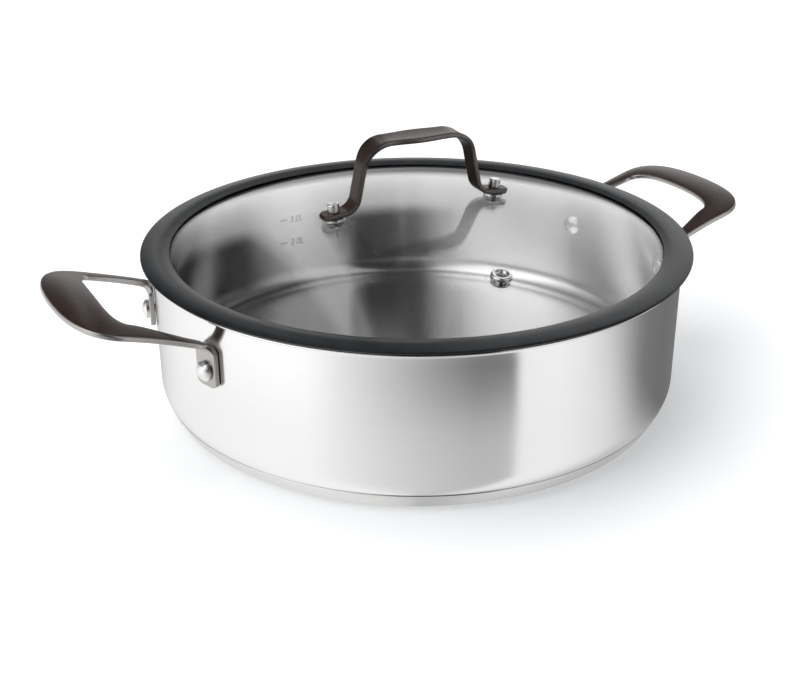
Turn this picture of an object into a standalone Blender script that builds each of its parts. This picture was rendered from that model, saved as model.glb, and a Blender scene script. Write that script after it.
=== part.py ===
"""Shallow casserole pan with two riveted strap handles and a domed glass lid.

The pan stands on Z = 0 with its axis on Z. The side handles lie along X, and so does the lid's handle.
Every size below can be changed by itself: what seats on it or passes through it follows.
"""

from math import asin, cos, hypot, pi, radians, sin, sqrt, tan

import bmesh
import bpy
from mathutils import Matrix, Vector

MM = 0.001

# Clearances
GAP = 0.3 * MM  # between two pieces that touch
LID_PLAY = 0.7 * MM  # around the lid's skirt inside the pan
BORE_PLAY = 0.3 * MM  # around a shank in its hole

# Pan body
PAN_RADIUS = 141.8 * MM  # inside
WALL = 1.2 * MM
FLOOR = 1.2 * MM
RIM_HEIGHT = 84.9 * MM
FLOOR_FILLET = 11.0 * MM
CORNER_RADIUS = 16.0 * MM
LIP_BEND = 2.4 * MM  # under the turned-out lip
LIP_FLAT = 0.6 * MM

# Layered base
BASE_HEIGHT = 8.8 * MM
BASE_INSET = 2.3 * MM  # from the wall to the top of the base
BASE_DRAFT = 4.3 * MM  # how far the base narrows down to the table
CAP_SHEET = 0.8 * MM
CAP_ROUND = 1.0 * MM

# Side handles
STRAP = 2.7 * MM
STRAP_EDGE = 0.7 * MM
TAB_ANGLE = radians(17.2)  # of each tab, either side of the handle's own axis
TAB_WIDTH = 14.6 * MM
TAB_DROP = 36.5 * MM  # from the top of the pan's lip down to a tab's lower end
TAB_RISE = 23.0 * MM  # from there up to the strap's middle where a leg leaves its bend
TAB_CORNER = 2.6 * MM
TAB_BEND = 5.2 * MM
LEG_WIDTH = 6.6 * MM
LEG_SLOPE = radians(19.9)
LEG_LEAD = 3.3 * MM  # how long a leg's outer edge keeps its direction from the wall
LEG_INNER_LEAD = 6.1 * MM
HANDLE_SPREAD = 0.023  # how much the handle's sides spread towards its end
TIP_SLOPE = radians(12.7)
HANDLE_REACH = 57.7 * MM
HANDLE_HALF_WIDTH = 46.4 * MM
HANDLE_CORNER = 23.3 * MM
HANDLE_LEAD = 23.6 * MM  # how long its outer edge runs straight before the corner
HANDLE_FULLNESS = 0.73  # of the outer corner, as a share of its size
HANDLE_END = 0.65  # share of the half width where the outer end turns
GRIP_DEPTH = 20.3 * MM
LEG_RISE = 2.0 * MM  # of the inner edge over the outer one where the legs end
GRIP_RISE = 4.3 * MM  # the same in the grip's middle
GRIP_BULGE = 0.35  # of the upper face, as a share of that rise
HOLE_HALF_WIDTH = 34.5 * MM
HOLE_CORNER = 9.4 * MM
HOLE_LEAD = 2.3 * MM
HOLE_FULLNESS = 0.93
HOLE_END = 0.59

# Pan rivets
RIVET_SEAT = 8.4 * MM  # from a tab's lower end up to its rivet's axis
RIVET_SHANK = 2.4 * MM  # radii
RIVET_HEAD = 5.1 * MM
RIVET_CROWN = 2.5 * MM
RIVET_TAIL = 5.7 * MM
RIVET_TAIL_CROWN = 1.7 * MM
RIVET_RIM = 1.3 * MM  # upright edge of the outer head
RIVET_TAIL_RIM = 0.4 * MM

# Glass
GLASS_INSET = 4.2 * MM  # from the pan's inner wall to the glass's edge
GLASS_DROP = 0.5 * MM  # from the rim's seat on the pan down to the glass's upper edge
GLASS = 3.5 * MM
DOME_RADIUS = 455.0 * MM

# Silicone rim of the lid
RIM_OVERHANG = 1.9 * MM  # beyond the pan's lip
RIM_UNDERCUT = 1.7 * MM
RIM_SIDE = 1.7 * MM
RIM_EDGE_EASE = 0.9 * MM  # how far the round at its outer edge reaches in
RIM_CROWN = 3.1 * MM  # from the flange's underside to its top
RIM_COVER = 4.3 * MM  # how far the rim laps over the glass
RIM_LAP = 0.8 * MM  # thickness of that lap at its edge
RIM_LAP_EASE = 0.5 * MM
SKIRT_DEPTH = 6.1 * MM
SKIRT_CHAMFER = 1.1 * MM

# Lid handle
LID_TURN = radians(-2.6)  # from the side handles' line; the lid lies loose in the pan
LID_STRAP = 2.8 * MM
LID_STRAP_EDGE = 0.6 * MM
STUD_OFFSET = 47.6 * MM  # from the lid's axis
BAR_RISE = 38.3 * MM  # from the glass's apex to the top of the bar
BAR_WIDTH = 18.4 * MM
BAR_HALF_LENGTH = 29.6 * MM
BAR_HOLLOW = 0.3 * MM  # how far its edges stand above its middle line
BAR_CORNER = 14.9 * MM
BAR_FLARE = 0.62  # share of the bar's widening that its corner takes
LID_LEG_WIDTH = 10.7 * MM
LID_LEG_SPLAY = radians(11.9)
FOOT_BEND = 9.0 * MM
FOOT_WIDTH = 10.6 * MM
FOOT_END = 7.3 * MM  # beyond the stud
FOOT_CHAMFER = 2.4 * MM

# Lid fasteners, as radii and thicknesses
SCREW = 1.8 * MM
SCREW_HEAD = 4.0 * MM
SCREW_HEAD_HEIGHT = 2.0 * MM
SCREW_RIM = 0.6 * MM
WASHER = 5.6 * MM
WASHER_HEIGHT = 1.5 * MM
WASHER_EASE = 0.4 * MM
GASKET = 4.4 * MM
GASKET_SHEET = 0.5 * MM
NUT = 3.2 * MM
NUT_HEIGHT = 4.5 * MM
NUT_CHAMFER = 0.9 * MM
NUT_ROOF = 1.2 * MM

# Steam vent
VENT_INSET = 44.7 * MM  # from the glass's edge
VENT_FLANGE = 5.35 * MM
VENT_FLANGE_HEIGHT = 2.2 * MM
VENT_FLANGE_EASE = 1.0 * MM
VENT_BORE = 2.2 * MM
VENT_TUBE = 2.9 * MM
VENT_FUNNEL = 3.9 * MM
VENT_FUNNEL_DEPTH = 1.65 * MM
VENT_COLLAR = 5.0 * MM
VENT_COLLAR_SHEET = 1.1 * MM
VENT_ROLL = 0.9 * MM
VENT_ROLL_REACH = 0.8 * MM  # of the rolled end beyond the tube

# Facets
BODY_STEPS = 64
LID_STEPS = 60
SMALL_STEPS = 16
GLASS_RINGS = 6
CORNER_STEPS = 6
LEG_STEPS = 5
GRIP_STEPS = 11
CUT_MARGIN = 4.0 * MM  # how far a cutter runs past what it cuts
ROUNDED = 0.3  # where the middle point of a two-step round lies, as a share of its radius

# Sizes that follow from those above
WALL_RADIUS = PAN_RADIUS + WALL
BASE_RADIUS = WALL_RADIUS - BASE_INSET
FLOOR_HEIGHT = BASE_HEIGHT + FLOOR
LIP_RADIUS = WALL_RADIUS + LIP_BEND + LIP_FLAT + WALL / 2
RIM_BOTTOM = RIM_HEIGHT + GAP
RIM_RADIUS = LIP_RADIUS + RIM_OVERHANG
SKIRT_RADIUS = PAN_RADIUS - LID_PLAY
GLASS_RADIUS = PAN_RADIUS - GLASS_INSET
COVER_RADIUS = GLASS_RADIUS - RIM_COVER
DOME_APEX = RIM_BOTTOM - GLASS_DROP + DOME_RADIUS - sqrt(DOME_RADIUS**2 - GLASS_RADIUS**2)
BAR_TOP = DOME_APEX + BAR_RISE
VENT_OFFSET = GLASS_RADIUS - VENT_INSET
TAB_BOTTOM = RIM_HEIGHT - TAB_DROP
LEG_HEIGHT = TAB_BOTTOM + TAB_RISE
RIVET_HEIGHT = TAB_BOTTOM + RIVET_SEAT
TAB_MIDDLE = WALL_RADIUS + GAP + STRAP / 2
TAB_FACE = TAB_MIDDLE + STRAP / 2
STACK_ROOF = GAP + GASKET_SHEET + GAP
STACK_FOOT = GAP + WASHER_HEIGHT + GAP
STACK_NUT = STACK_FOOT + LID_STRAP + GAP
STACK_LOWER = -GLASS - GAP - GASKET_SHEET
STACK_HEAD = STACK_LOWER - GAP

for old in list(bpy.data.objects):
    bpy.data.objects.remove(old, do_unlink=True)

parts = bpy.data.collections.new("casserole_pan")
cutters = bpy.data.collections.new("cutters")
bpy.context.scene.collection.children.link(parts)
bpy.context.scene.collection.children.link(cutters)


def make_material(name, colour, metallic, roughness, alpha=1.0):
    material = bpy.data.materials.new(name)
    material.use_nodes = True
    shader = material.node_tree.nodes["Principled BSDF"]
    shader.inputs["Base Color"].default_value = (*colour, 1.0)
    shader.inputs["Metallic"].default_value = metallic
    shader.inputs["Roughness"].default_value = roughness
    shader.inputs["Alpha"].default_value = alpha
    material.diffuse_color = (*colour, alpha)
    return material


BRUSHED_STEEL = make_material("brushed_steel", (0.70, 0.70, 0.69), 1.0, 0.32)
POLISHED_STEEL = make_material("polished_steel", (0.78, 0.78, 0.77), 1.0, 0.14)
BRONZE_STEEL = make_material("bronze_coated_steel", (0.075, 0.055, 0.050), 0.7, 0.42)
CORE_METAL = make_material("core_aluminium", (0.62, 0.63, 0.65), 1.0, 0.45)
CLEAR_GLASS = make_material("clear_glass", (0.90, 0.94, 0.93), 0.0, 0.03, 0.35)
BLACK_SILICONE = make_material("black_silicone", (0.028, 0.031, 0.034), 0.0, 0.48)
CLEAR_SILICONE = make_material("clear_silicone", (0.72, 0.74, 0.74), 0.0, 0.35, 0.6)


def add_object(name, mesh, material, parent=None):
    mesh.materials.append(material)
    mesh.shade_smooth()
    mesh.set_sharp_from_angle(angle=radians(35))
    piece = bpy.data.objects.new(name, mesh)
    piece.parent = parent
    parts.objects.link(piece)
    return piece


def arc(centre, radius, start, end, steps):
    """Points from one angle to another round a centre, in a profile's (radius, height) plane."""
    angles = [start + (end - start) * step / steps for step in range(steps + 1)]
    return [(centre[0] + radius * cos(a), centre[1] + radius * sin(a)) for a in angles]


def turned(name, profile, steps, material, parent=None):
    """A solid of revolution. An open profile starts and ends on the axis, a closed one makes a ring."""
    mesh = bpy.data.meshes.new(name)
    edges = [(i, i + 1) for i in range(len(profile) - 1)]
    if profile[0][0] > 0:
        edges.append((len(profile) - 1, 0))
    mesh.from_pydata([(r, 0.0, z) for r, z in profile], edges, [])
    piece = add_object(name, mesh, material, parent)
    screw = piece.modifiers.new("turn", "SCREW")
    screw.axis = "Z"
    screw.steps = steps
    screw.render_steps = steps
    screw.use_merge_vertices = True
    screw.merge_threshold = 0.00001
    screw.use_smooth_shade = True
    return piece


def drill(piece, radius, low, high, frame):
    """Cut a round hole through a piece, along the Z axis of a placement matrix."""
    mesh = bpy.data.meshes.new("drill")
    form = bmesh.new()
    bmesh.ops.create_cone(
        form,
        cap_ends=True,
        segments=SMALL_STEPS,
        radius1=radius,
        radius2=radius,
        depth=high - low,
        matrix=Matrix.Translation((0.0, 0.0, (high + low) / 2)),
    )
    form.to_mesh(mesh)
    form.free()
    cutter = bpy.data.objects.new("drill", mesh)
    cutter.matrix_world = frame
    cutter.hide_render = True
    cutter.display_type = "WIRE"
    cutters.objects.link(cutter)
    cut = piece.modifiers.new("hole", "BOOLEAN")
    cut.operation = "DIFFERENCE"
    cut.solver = "EXACT"
    cut.object = cutter


def dome_height(radius, thickness=0.0):
    """Height of the glass's upper surface, or of a surface that lies so far below it."""
    inner = DOME_RADIUS - thickness
    return DOME_APEX - DOME_RADIUS + sqrt(inner**2 - radius**2)


def dome_frame(x, y):
    """Placement on the glass's upper surface, with Z along the dome's normal, before the lid is turned."""
    reach = hypot(x, y)
    foot = Vector((x, y, dome_height(reach)))
    normal = foot - Vector((0.0, 0.0, DOME_APEX - DOME_RADIUS))
    turn = Vector((0.0, 0.0, 1.0)).rotation_difference(normal)
    return Matrix.Translation(foot) @ turn.to_matrix().to_4x4()


def add_empty(name, frame):
    empty = bpy.data.objects.new(name, None)
    empty.matrix_world = frame
    parts.objects.link(empty)
    return empty


def bezier(points, t):
    p0, p1, p2, p3 = (Vector(p) for p in points)
    s = 1.0 - t
    return s**3 * p0 + 3 * s * s * t * p1 + 3 * s * t * t * p2 + t**3 * p3


def smooth_step(value):
    value = min(max(value, 0.0), 1.0)
    return value * value * (3.0 - 2.0 * value)


def strap_section(outer, inner, normal, thickness, edge, sag):
    """Twelve points round a flat strap with eased edges. sag(f) lowers it across its width, f from 0 to 1."""
    width = (inner - outer).length
    ease = edge / width
    half = thickness / 2
    across = [(ease, half), (1 / 3, half), (2 / 3, half), (1 - ease, half), (1.0, half - edge)]
    ring = across + [(f, -h) for f, h in reversed(across)]
    ring += [(0.0, edge - half), (0.0, half - edge)]
    return [outer.lerp(inner, f) + normal * (h - sag(f)) for f, h in ring]


def loft(name, sections, material):
    """Skin a row of like sections. The first is capped, and the last stays open for the mirrored half."""
    count = len(sections[0])
    points = [point for section in sections for point in section]
    faces = [tuple(range(count))]
    for row in range(len(sections) - 1):
        low = row * count
        for i in range(count):
            j = (i + 1) % count
            faces.append((low + j, low + i, low + count + i, low + count + j))
    mesh = bpy.data.meshes.new(name)
    mesh.from_pydata([tuple(point) for point in points], [], faces)
    return add_object(name, mesh, material)


def add_mirror(piece, axis):
    mirror = piece.modifiers.new("other_half", "MIRROR")
    mirror.use_axis = tuple(i == axis for i in range(3))
    mirror.use_clip = True
    mirror.merge_threshold = 0.00001


def pan_profile():
    """From the middle of the floor up the inside, over the lip, down the outside and back under the floor."""
    fillet_centre = (PAN_RADIUS - FLOOR_FILLET, FLOOR_HEIGHT + FLOOR_FILLET)
    lip_centre = (WALL_RADIUS + LIP_BEND, RIM_HEIGHT - WALL - LIP_BEND)
    edge_centre = (lip_centre[0] + LIP_FLAT, RIM_HEIGHT - WALL / 2)
    corner_r = WALL_RADIUS - CORNER_RADIUS
    corner_drop = sqrt(CORNER_RADIUS**2 - (BASE_RADIUS - corner_r) ** 2)
    corner_centre = (corner_r, BASE_HEIGHT + corner_drop)
    points = [(0.0, FLOOR_HEIGHT)]
    points += arc(fillet_centre, FLOOR_FILLET, -pi / 2, 0.0, 5)
    points += arc(lip_centre, LIP_BEND + WALL, pi, pi / 2, 4)
    points += arc(edge_centre, WALL / 2, pi / 2, -pi / 2, 4)
    points += arc(lip_centre, LIP_BEND, pi / 2, pi, 3)
    points += arc(corner_centre, CORNER_RADIUS, 0.0, -asin(corner_drop / CORNER_RADIUS), CORNER_STEPS)
    points.append((0.0, BASE_HEIGHT))
    return points


def base_side(offset, low, high):
    """Two points down the base's drafted side, moved inwards by an offset."""
    slope = BASE_DRAFT / (BASE_HEIGHT - GAP)
    side_top = BASE_RADIUS - offset
    return [(side_top - slope * (BASE_HEIGHT - GAP - z), z) for z in (high, low)]


def cap_profile():
    """The base's steel cap: a shallow dish whose rim meets the underside of the pan."""
    top = BASE_HEIGHT - GAP
    inner = base_side(CAP_SHEET, CAP_SHEET, top)
    outer = base_side(0.0, CAP_ROUND, top)
    foot = base_side(0.0, 0.0, top)[1]
    return [(0.0, CAP_SHEET), inner[1], inner[0], outer[0], outer[1], (foot[0] - CAP_ROUND, 0.0), (0.0, 0.0)]


def core_profile():
    low = CAP_SHEET + GAP
    high = BASE_HEIGHT - GAP
    side = base_side(CAP_SHEET + GAP, low, high)
    return [(0.0, high), side[0], side[1], (0.0, low)]


def rivet_frame(angle):
    """Placement of a pan rivet, with Z outwards along the wall's normal and the origin on the pan's axis."""
    turn = Matrix.Rotation(angle, 4, "Z") @ Matrix.Rotation(pi / 2, 4, "Y")
    return Matrix.Translation((0.0, 0.0, RIVET_HEIGHT)) @ turn


def crown(base, radius, height, up, steps):
    """A shallow spherical head above or below its base, from its rim to its top or the other way."""
    sphere = (radius**2 + height**2) / (2 * height)
    centre = (0.0, base + up * (height - sphere))
    rim_angle = up * asin((sphere - height) / sphere)
    rise = arc(centre, sphere, rim_angle, up * pi / 2, steps)
    rise[-1] = (0.0, rise[-1][1])
    return rise


def rivet_profile():
    """Crowned head on the tab, shank through tab and wall, and a flatter head inside the pan."""
    head = TAB_FACE + GAP
    tail = PAN_RADIUS - 2 * GAP  # the wall's facets lie a little inside its radius
    outside = list(reversed(crown(head + RIVET_RIM, RIVET_HEAD, RIVET_CROWN, 1, 4)))
    inside = crown(tail - RIVET_TAIL_RIM, RIVET_TAIL, RIVET_TAIL_CROWN, -1, 3)
    shank = [(RIVET_HEAD, head), (RIVET_SHANK, head), (RIVET_SHANK, tail), (RIVET_TAIL, tail)]
    return outside + shank + inside


def handle_height(x, start):
    """Height of a side handle's middle surface, steep at the wall and flatter at its outer end."""
    length = WALL_RADIUS + HANDLE_REACH - start
    along = x - start
    bend = (tan(TIP_SLOPE) - tan(LEG_SLOPE)) / (2 * length)
    return LEG_HEIGHT + tan(LEG_SLOPE) * along + bend * along**2


def handle_sections():
    """Sections of half a side handle: up the tab, round its bend, along the leg and to the grip's middle."""
    out = Vector((cos(TAB_ANGLE), sin(TAB_ANGLE), 0.0))
    side = Vector((-sin(TAB_ANGLE), cos(TAB_ANGLE), 0.0))
    up = Vector((0.0, 0.0, 1.0))
    turn = pi / 2 - LEG_SLOPE
    bend_low = LEG_HEIGHT - TAB_BEND * sin(turn)
    sections = []

    def add(outer, inner, normal, rise):
        def sag(f):
            return -rise * (f + GRIP_BULGE * 4.0 * f * (1.0 - f))

        sections.append(strap_section(outer, inner, normal, STRAP, STRAP_EDGE, sag))

    for height, width in (
        (TAB_BOTTOM, TAB_WIDTH - 2 * TAB_CORNER),
        (TAB_BOTTOM + TAB_CORNER * ROUNDED, TAB_WIDTH - 2 * TAB_CORNER * ROUNDED),
        (TAB_BOTTOM + TAB_CORNER, TAB_WIDTH),
    ):
        centre = out * TAB_MIDDLE + up * height
        add(centre + side * width / 2, centre - side * width / 2, -out, 0.0)
    for step in range(CORNER_STEPS + 1):
        angle = turn * step / CORNER_STEPS
        width = TAB_WIDTH + (LEG_WIDTH - TAB_WIDTH) * smooth_step(step / CORNER_STEPS)
        centre = out * (TAB_MIDDLE + TAB_BEND * (1 - cos(angle))) + up * (bend_low + TAB_BEND * sin(angle))
        add(centre + side * width / 2, centre - side * width / 2, up * sin(angle) - out * cos(angle), 0.0)

    root = out * (TAB_MIDDLE + TAB_BEND * (1 - cos(turn)))
    outer_root = (root + side * LEG_WIDTH / 2).to_2d()
    inner_root = (root - side * LEG_WIDTH / 2).to_2d()
    lead = out.to_2d()
    heading = Vector((1.0, HANDLE_SPREAD))
    reach = WALL_RADIUS + HANDLE_REACH
    hole_end = reach - GRIP_DEPTH
    shoulder = Vector((reach - HANDLE_CORNER, HANDLE_HALF_WIDTH))
    notch = Vector((hole_end - HOLE_CORNER, HOLE_HALF_WIDTH))
    outer_pull = heading * HANDLE_FULLNESS * HANDLE_CORNER
    inner_pull = heading * HOLE_FULLNESS * HOLE_CORNER
    outer_leg = (outer_root, outer_root + lead * LEG_LEAD, shoulder - heading * HANDLE_LEAD, shoulder)
    inner_leg = (inner_root, inner_root + lead * LEG_INNER_LEAD, notch - heading * HOLE_LEAD, notch)
    outer_turn = (shoulder, shoulder + outer_pull, (reach, HANDLE_END * shoulder.y), (reach, 0.0))
    inner_turn = (notch, notch + inner_pull, (hole_end, HOLE_END * notch.y), (hole_end, 0.0))

    def height_point(point):
        return Vector((point.x, point.y, handle_height(point.x, root.x)))

    def sheet_normal(x):
        rise = handle_height(x + MM, root.x) - handle_height(x, root.x)
        return Vector((-rise, 0.0, MM)).normalized()

    for curve_pair, steps, rise_from, rise_to in (
        ((outer_leg, inner_leg), LEG_STEPS, 0.0, LEG_RISE),
        ((outer_turn, inner_turn), GRIP_STEPS, LEG_RISE, GRIP_RISE),
    ):
        for step in range(1, steps + 1):
            t = step / steps
            outer = bezier(curve_pair[0], t)
            inner = bezier(curve_pair[1], t)
            rise = rise_from + (rise_to - rise_from) * smooth_step(t)
            normal = sheet_normal((outer.x + inner.x) / 2)
            add(height_point(outer), height_point(inner), normal, rise)
    return sections


def add_side_handle(name, turn):
    handle = loft(name, handle_sections(), BRONZE_STEEL)
    add_mirror(handle, 1)
    handle.rotation_euler.z = turn
    for side in (-1, 1):
        low = TAB_MIDDLE - STRAP / 2 - CUT_MARGIN
        high = TAB_FACE + CUT_MARGIN
        drill(handle, RIVET_SHANK + BORE_PLAY, low, high, rivet_frame(turn + side * TAB_ANGLE))


def rounded_path(corners, radii, steps):
    """A flat path through corner points, each inner corner rounded to its radius, with its directions."""
    path = [(corners[0], (corners[1] - corners[0]).normalized())]
    for index in range(1, len(corners) - 1):
        before = (corners[index] - corners[index - 1]).normalized()
        after = (corners[index + 1] - corners[index]).normalized()
        angle = before.angle_signed(after)
        length = radii[index - 1] * tan(abs(angle) / 2)
        start = corners[index] - before * length
        bent = -1.0 if angle > 0 else 1.0
        centre = start + Vector((-before.y, before.x)) * radii[index - 1] * bent
        for step in range(steps + 1):
            turned_by = Matrix.Rotation(-angle * step / steps, 2)
            path.append((centre + turned_by @ (start - centre), turned_by @ before))
    path.append((corners[-1], (corners[-1] - corners[-2]).normalized()))
    return path


def lid_handle_sections():
    """Sections of half the lid's handle, from the end of one foot up its leg to the middle of the bar."""
    stud = dome_frame(STUD_OFFSET, 0.0)
    foot_normal = (stud.to_3x3() @ Vector((0.0, 0.0, 1.0))).xz
    foot_along = Vector((foot_normal.y, -foot_normal.x))
    foot_middle = stud.translation.xz + foot_normal * (STACK_FOOT + LID_STRAP / 2)
    bar_height = BAR_TOP - LID_STRAP / 2
    bar_corner = Vector((BAR_HALF_LENGTH, bar_height))
    leg = Vector((sin(LID_LEG_SPLAY), -cos(LID_LEG_SPLAY)))
    offset = foot_middle - bar_corner
    reach = offset.cross(foot_along) / leg.cross(foot_along)
    foot_corner = bar_corner + leg * reach
    foot_end = foot_middle + foot_along * FOOT_END
    corners = [foot_end, foot_corner, bar_corner, Vector((0.0, bar_height))]
    path = rounded_path(corners, [FOOT_BEND, BAR_CORNER], CORNER_STEPS)
    start, heading = path[0]
    path.insert(1, (start + heading * FOOT_CHAMFER, heading))
    path.insert(2, (path[2][0].lerp(path[1][0], ROUNDED), heading))
    bar_start = path[-2][0].x
    path.insert(-1, (path[-2][0].lerp(path[-1][0], 0.5), path[-1][1]))
    leg_top = path[-3 - CORNER_STEPS][0]
    leg_low = path[3 + CORNER_STEPS][0]
    sections = []
    for index, (point, heading) in enumerate(path):
        up_leg = smooth_step((point.y - foot_middle.y) / (leg_low.y - foot_middle.y))
        into_bar = smooth_step((point.y - leg_top.y) / (bar_height - leg_top.y))
        along_bar = smooth_step(1.0 - point.x / bar_start)
        width = FOOT_WIDTH + (LID_LEG_WIDTH - FOOT_WIDTH) * up_leg
        width += (BAR_WIDTH - LID_LEG_WIDTH) * (BAR_FLARE * into_bar + (1.0 - BAR_FLARE) * along_bar)
        if index == 0:
            width -= 2 * FOOT_CHAMFER
        normal = Vector((heading.y, 0.0, -heading.x))
        middle = Vector((point.x, 0.0, point.y))
        across = Vector((0.0, width / 2, 0.0))

        def sag(f, hollow=BAR_HOLLOW * into_bar):
            return -hollow * (2 * f - 1) ** 2

        outer = middle + across
        inner = middle - across
        sections.append(strap_section(outer, inner, normal, LID_STRAP, LID_STRAP_EDGE, sag))
    return sections


def glass_profile():
    """Domed disc: down the upper surface to the edge and back along the lower one."""
    upper = [GLASS_RADIUS * step / GLASS_RINGS for step in range(GLASS_RINGS + 1)]
    points = [(r, dome_height(r)) for r in upper]
    points += [(r, dome_height(r, GLASS)) for r in reversed(upper)]
    return points


def rim_profile():
    """Silicone ring: a crowned flange over the pan's lip, a lap over the glass and a skirt inside the pan."""
    groove = GLASS_RADIUS + GAP
    top = RIM_BOTTOM + RIM_CROWN
    lap_top = dome_height(COVER_RADIUS) + GAP + RIM_LAP
    skirt_bottom = RIM_BOTTOM - SKIRT_DEPTH
    crown_radius = (COVER_RADIUS + RIM_RADIUS) / 2
    edge_top = RIM_BOTTOM + RIM_SIDE
    flange_top = [
        (COVER_RADIUS, lap_top - ROUNDED * RIM_LAP),
        (COVER_RADIUS + RIM_LAP_EASE, lap_top),
        ((COVER_RADIUS + crown_radius) / 2, (lap_top + 3 * top) / 4),
        (crown_radius, top),
        ((crown_radius + RIM_RADIUS) / 2, (3 * top + edge_top) / 4),
        (RIM_RADIUS - RIM_EDGE_EASE, edge_top + RIM_EDGE_EASE / 2),
        (RIM_RADIUS, edge_top - ROUNDED * RIM_EDGE_EASE),
    ]
    underside = [
        (RIM_RADIUS - RIM_UNDERCUT, RIM_BOTTOM),
        (SKIRT_RADIUS, RIM_BOTTOM),
        (SKIRT_RADIUS, skirt_bottom + SKIRT_CHAMFER),
        (SKIRT_RADIUS - SKIRT_CHAMFER, skirt_bottom),
        (COVER_RADIUS + SKIRT_CHAMFER, skirt_bottom),
        (COVER_RADIUS, skirt_bottom + SKIRT_CHAMFER),
    ]
    slot = [
        (COVER_RADIUS, dome_height(COVER_RADIUS, GLASS) - GAP),
        (groove, dome_height(groove, GLASS) - GAP),
        (groove, dome_height(groove) + GAP),
        (COVER_RADIUS, dome_height(COVER_RADIUS) + GAP),
    ]
    return flange_top + underside + slot


def ring_profile(outer, bore, low, sheet):
    high = low + sheet
    return [(bore, high), (outer, high), (outer, low), (bore, low)]


def washer_profile():
    """Cup washer: it stands on the glass by its rim, with the gasket inside."""
    top = GAP + WASHER_HEIGHT
    bore = SCREW + BORE_PLAY
    recess = GASKET + GAP
    return [
        (bore, top),
        (WASHER - WASHER_EASE, top),
        (WASHER - ROUNDED * WASHER_EASE, top - ROUNDED * WASHER_EASE),
        (WASHER, top - WASHER_EASE),
        (WASHER, GAP),
        (recess, GAP),
        (recess, STACK_ROOF),
        (bore, STACK_ROOF),
    ]


def nut_profile():
    """Barrel nut: a short post with a bevelled head and a blind bore from below."""
    low = STACK_NUT
    high = low + NUT_HEIGHT
    bore = SCREW + BORE_PLAY
    return [
        (0.0, high),
        (NUT - NUT_CHAMFER, high),
        (NUT - ROUNDED * NUT_CHAMFER, high - ROUNDED * NUT_CHAMFER),
        (NUT, high - NUT_CHAMFER),
        (NUT, low),
        (bore, low),
        (bore, high - NUT_ROOF),
        (0.0, high - NUT_ROOF),
    ]


def screw_profile():
    """Screw from below the glass: its shank ends inside the nut, and its head is crowned."""
    tip = STACK_NUT + NUT_HEIGHT - NUT_ROOF - GAP
    head = crown(STACK_HEAD - SCREW_RIM, SCREW_HEAD, SCREW_HEAD_HEIGHT - SCREW_RIM, -1, 3)
    return [(0.0, tip), (SCREW, tip), (SCREW, STACK_HEAD), (SCREW_HEAD, STACK_HEAD)] + head


def vent_profile():
    """Eyelet: a funnelled flange on the glass, a tube through it and a rolled end under the collar."""
    top = GAP + VENT_FLANGE_HEIGHT
    roll = -GLASS - GAP - VENT_COLLAR_SHEET - GAP
    hook = VENT_TUBE + VENT_ROLL_REACH
    return [
        (VENT_FUNNEL, top),
        (VENT_FLANGE - VENT_FLANGE_EASE, top),
        (VENT_FLANGE - ROUNDED * VENT_FLANGE_EASE, top - ROUNDED * VENT_FLANGE_EASE),
        (VENT_FLANGE, top - VENT_FLANGE_EASE),
        (VENT_FLANGE, GAP),
        (VENT_TUBE, GAP),
        (VENT_TUBE, roll),
        (hook, roll),
        (hook, roll - VENT_ROLL / 2),
        (VENT_TUBE, roll - VENT_ROLL),
        (VENT_BORE, roll - VENT_ROLL / 2),
        (VENT_BORE, top - VENT_FUNNEL_DEPTH),
    ]


def build_pan():
    body = turned("pan_body", pan_profile(), BODY_STEPS, BRUSHED_STEEL)
    turned("base_core", core_profile(), BODY_STEPS, CORE_METAL)
    turned("base_cap", cap_profile(), BODY_STEPS, BRUSHED_STEEL)
    for side, turn in (("right", 0.0), ("left", pi)):
        add_side_handle(side + "_handle", turn)
        for place, sign in (("front", -1), ("back", 1)):
            across = sign if side == "right" else -sign
            frame = rivet_frame(turn + across * TAB_ANGLE)
            name = side + "_" + place + "_rivet"
            rivet = turned(name, rivet_profile(), SMALL_STEPS, POLISHED_STEEL)
            rivet.matrix_world = frame
            drill(body, RIVET_SHANK + BORE_PLAY, PAN_RADIUS - CUT_MARGIN, WALL_RADIUS + CUT_MARGIN, frame)


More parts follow.
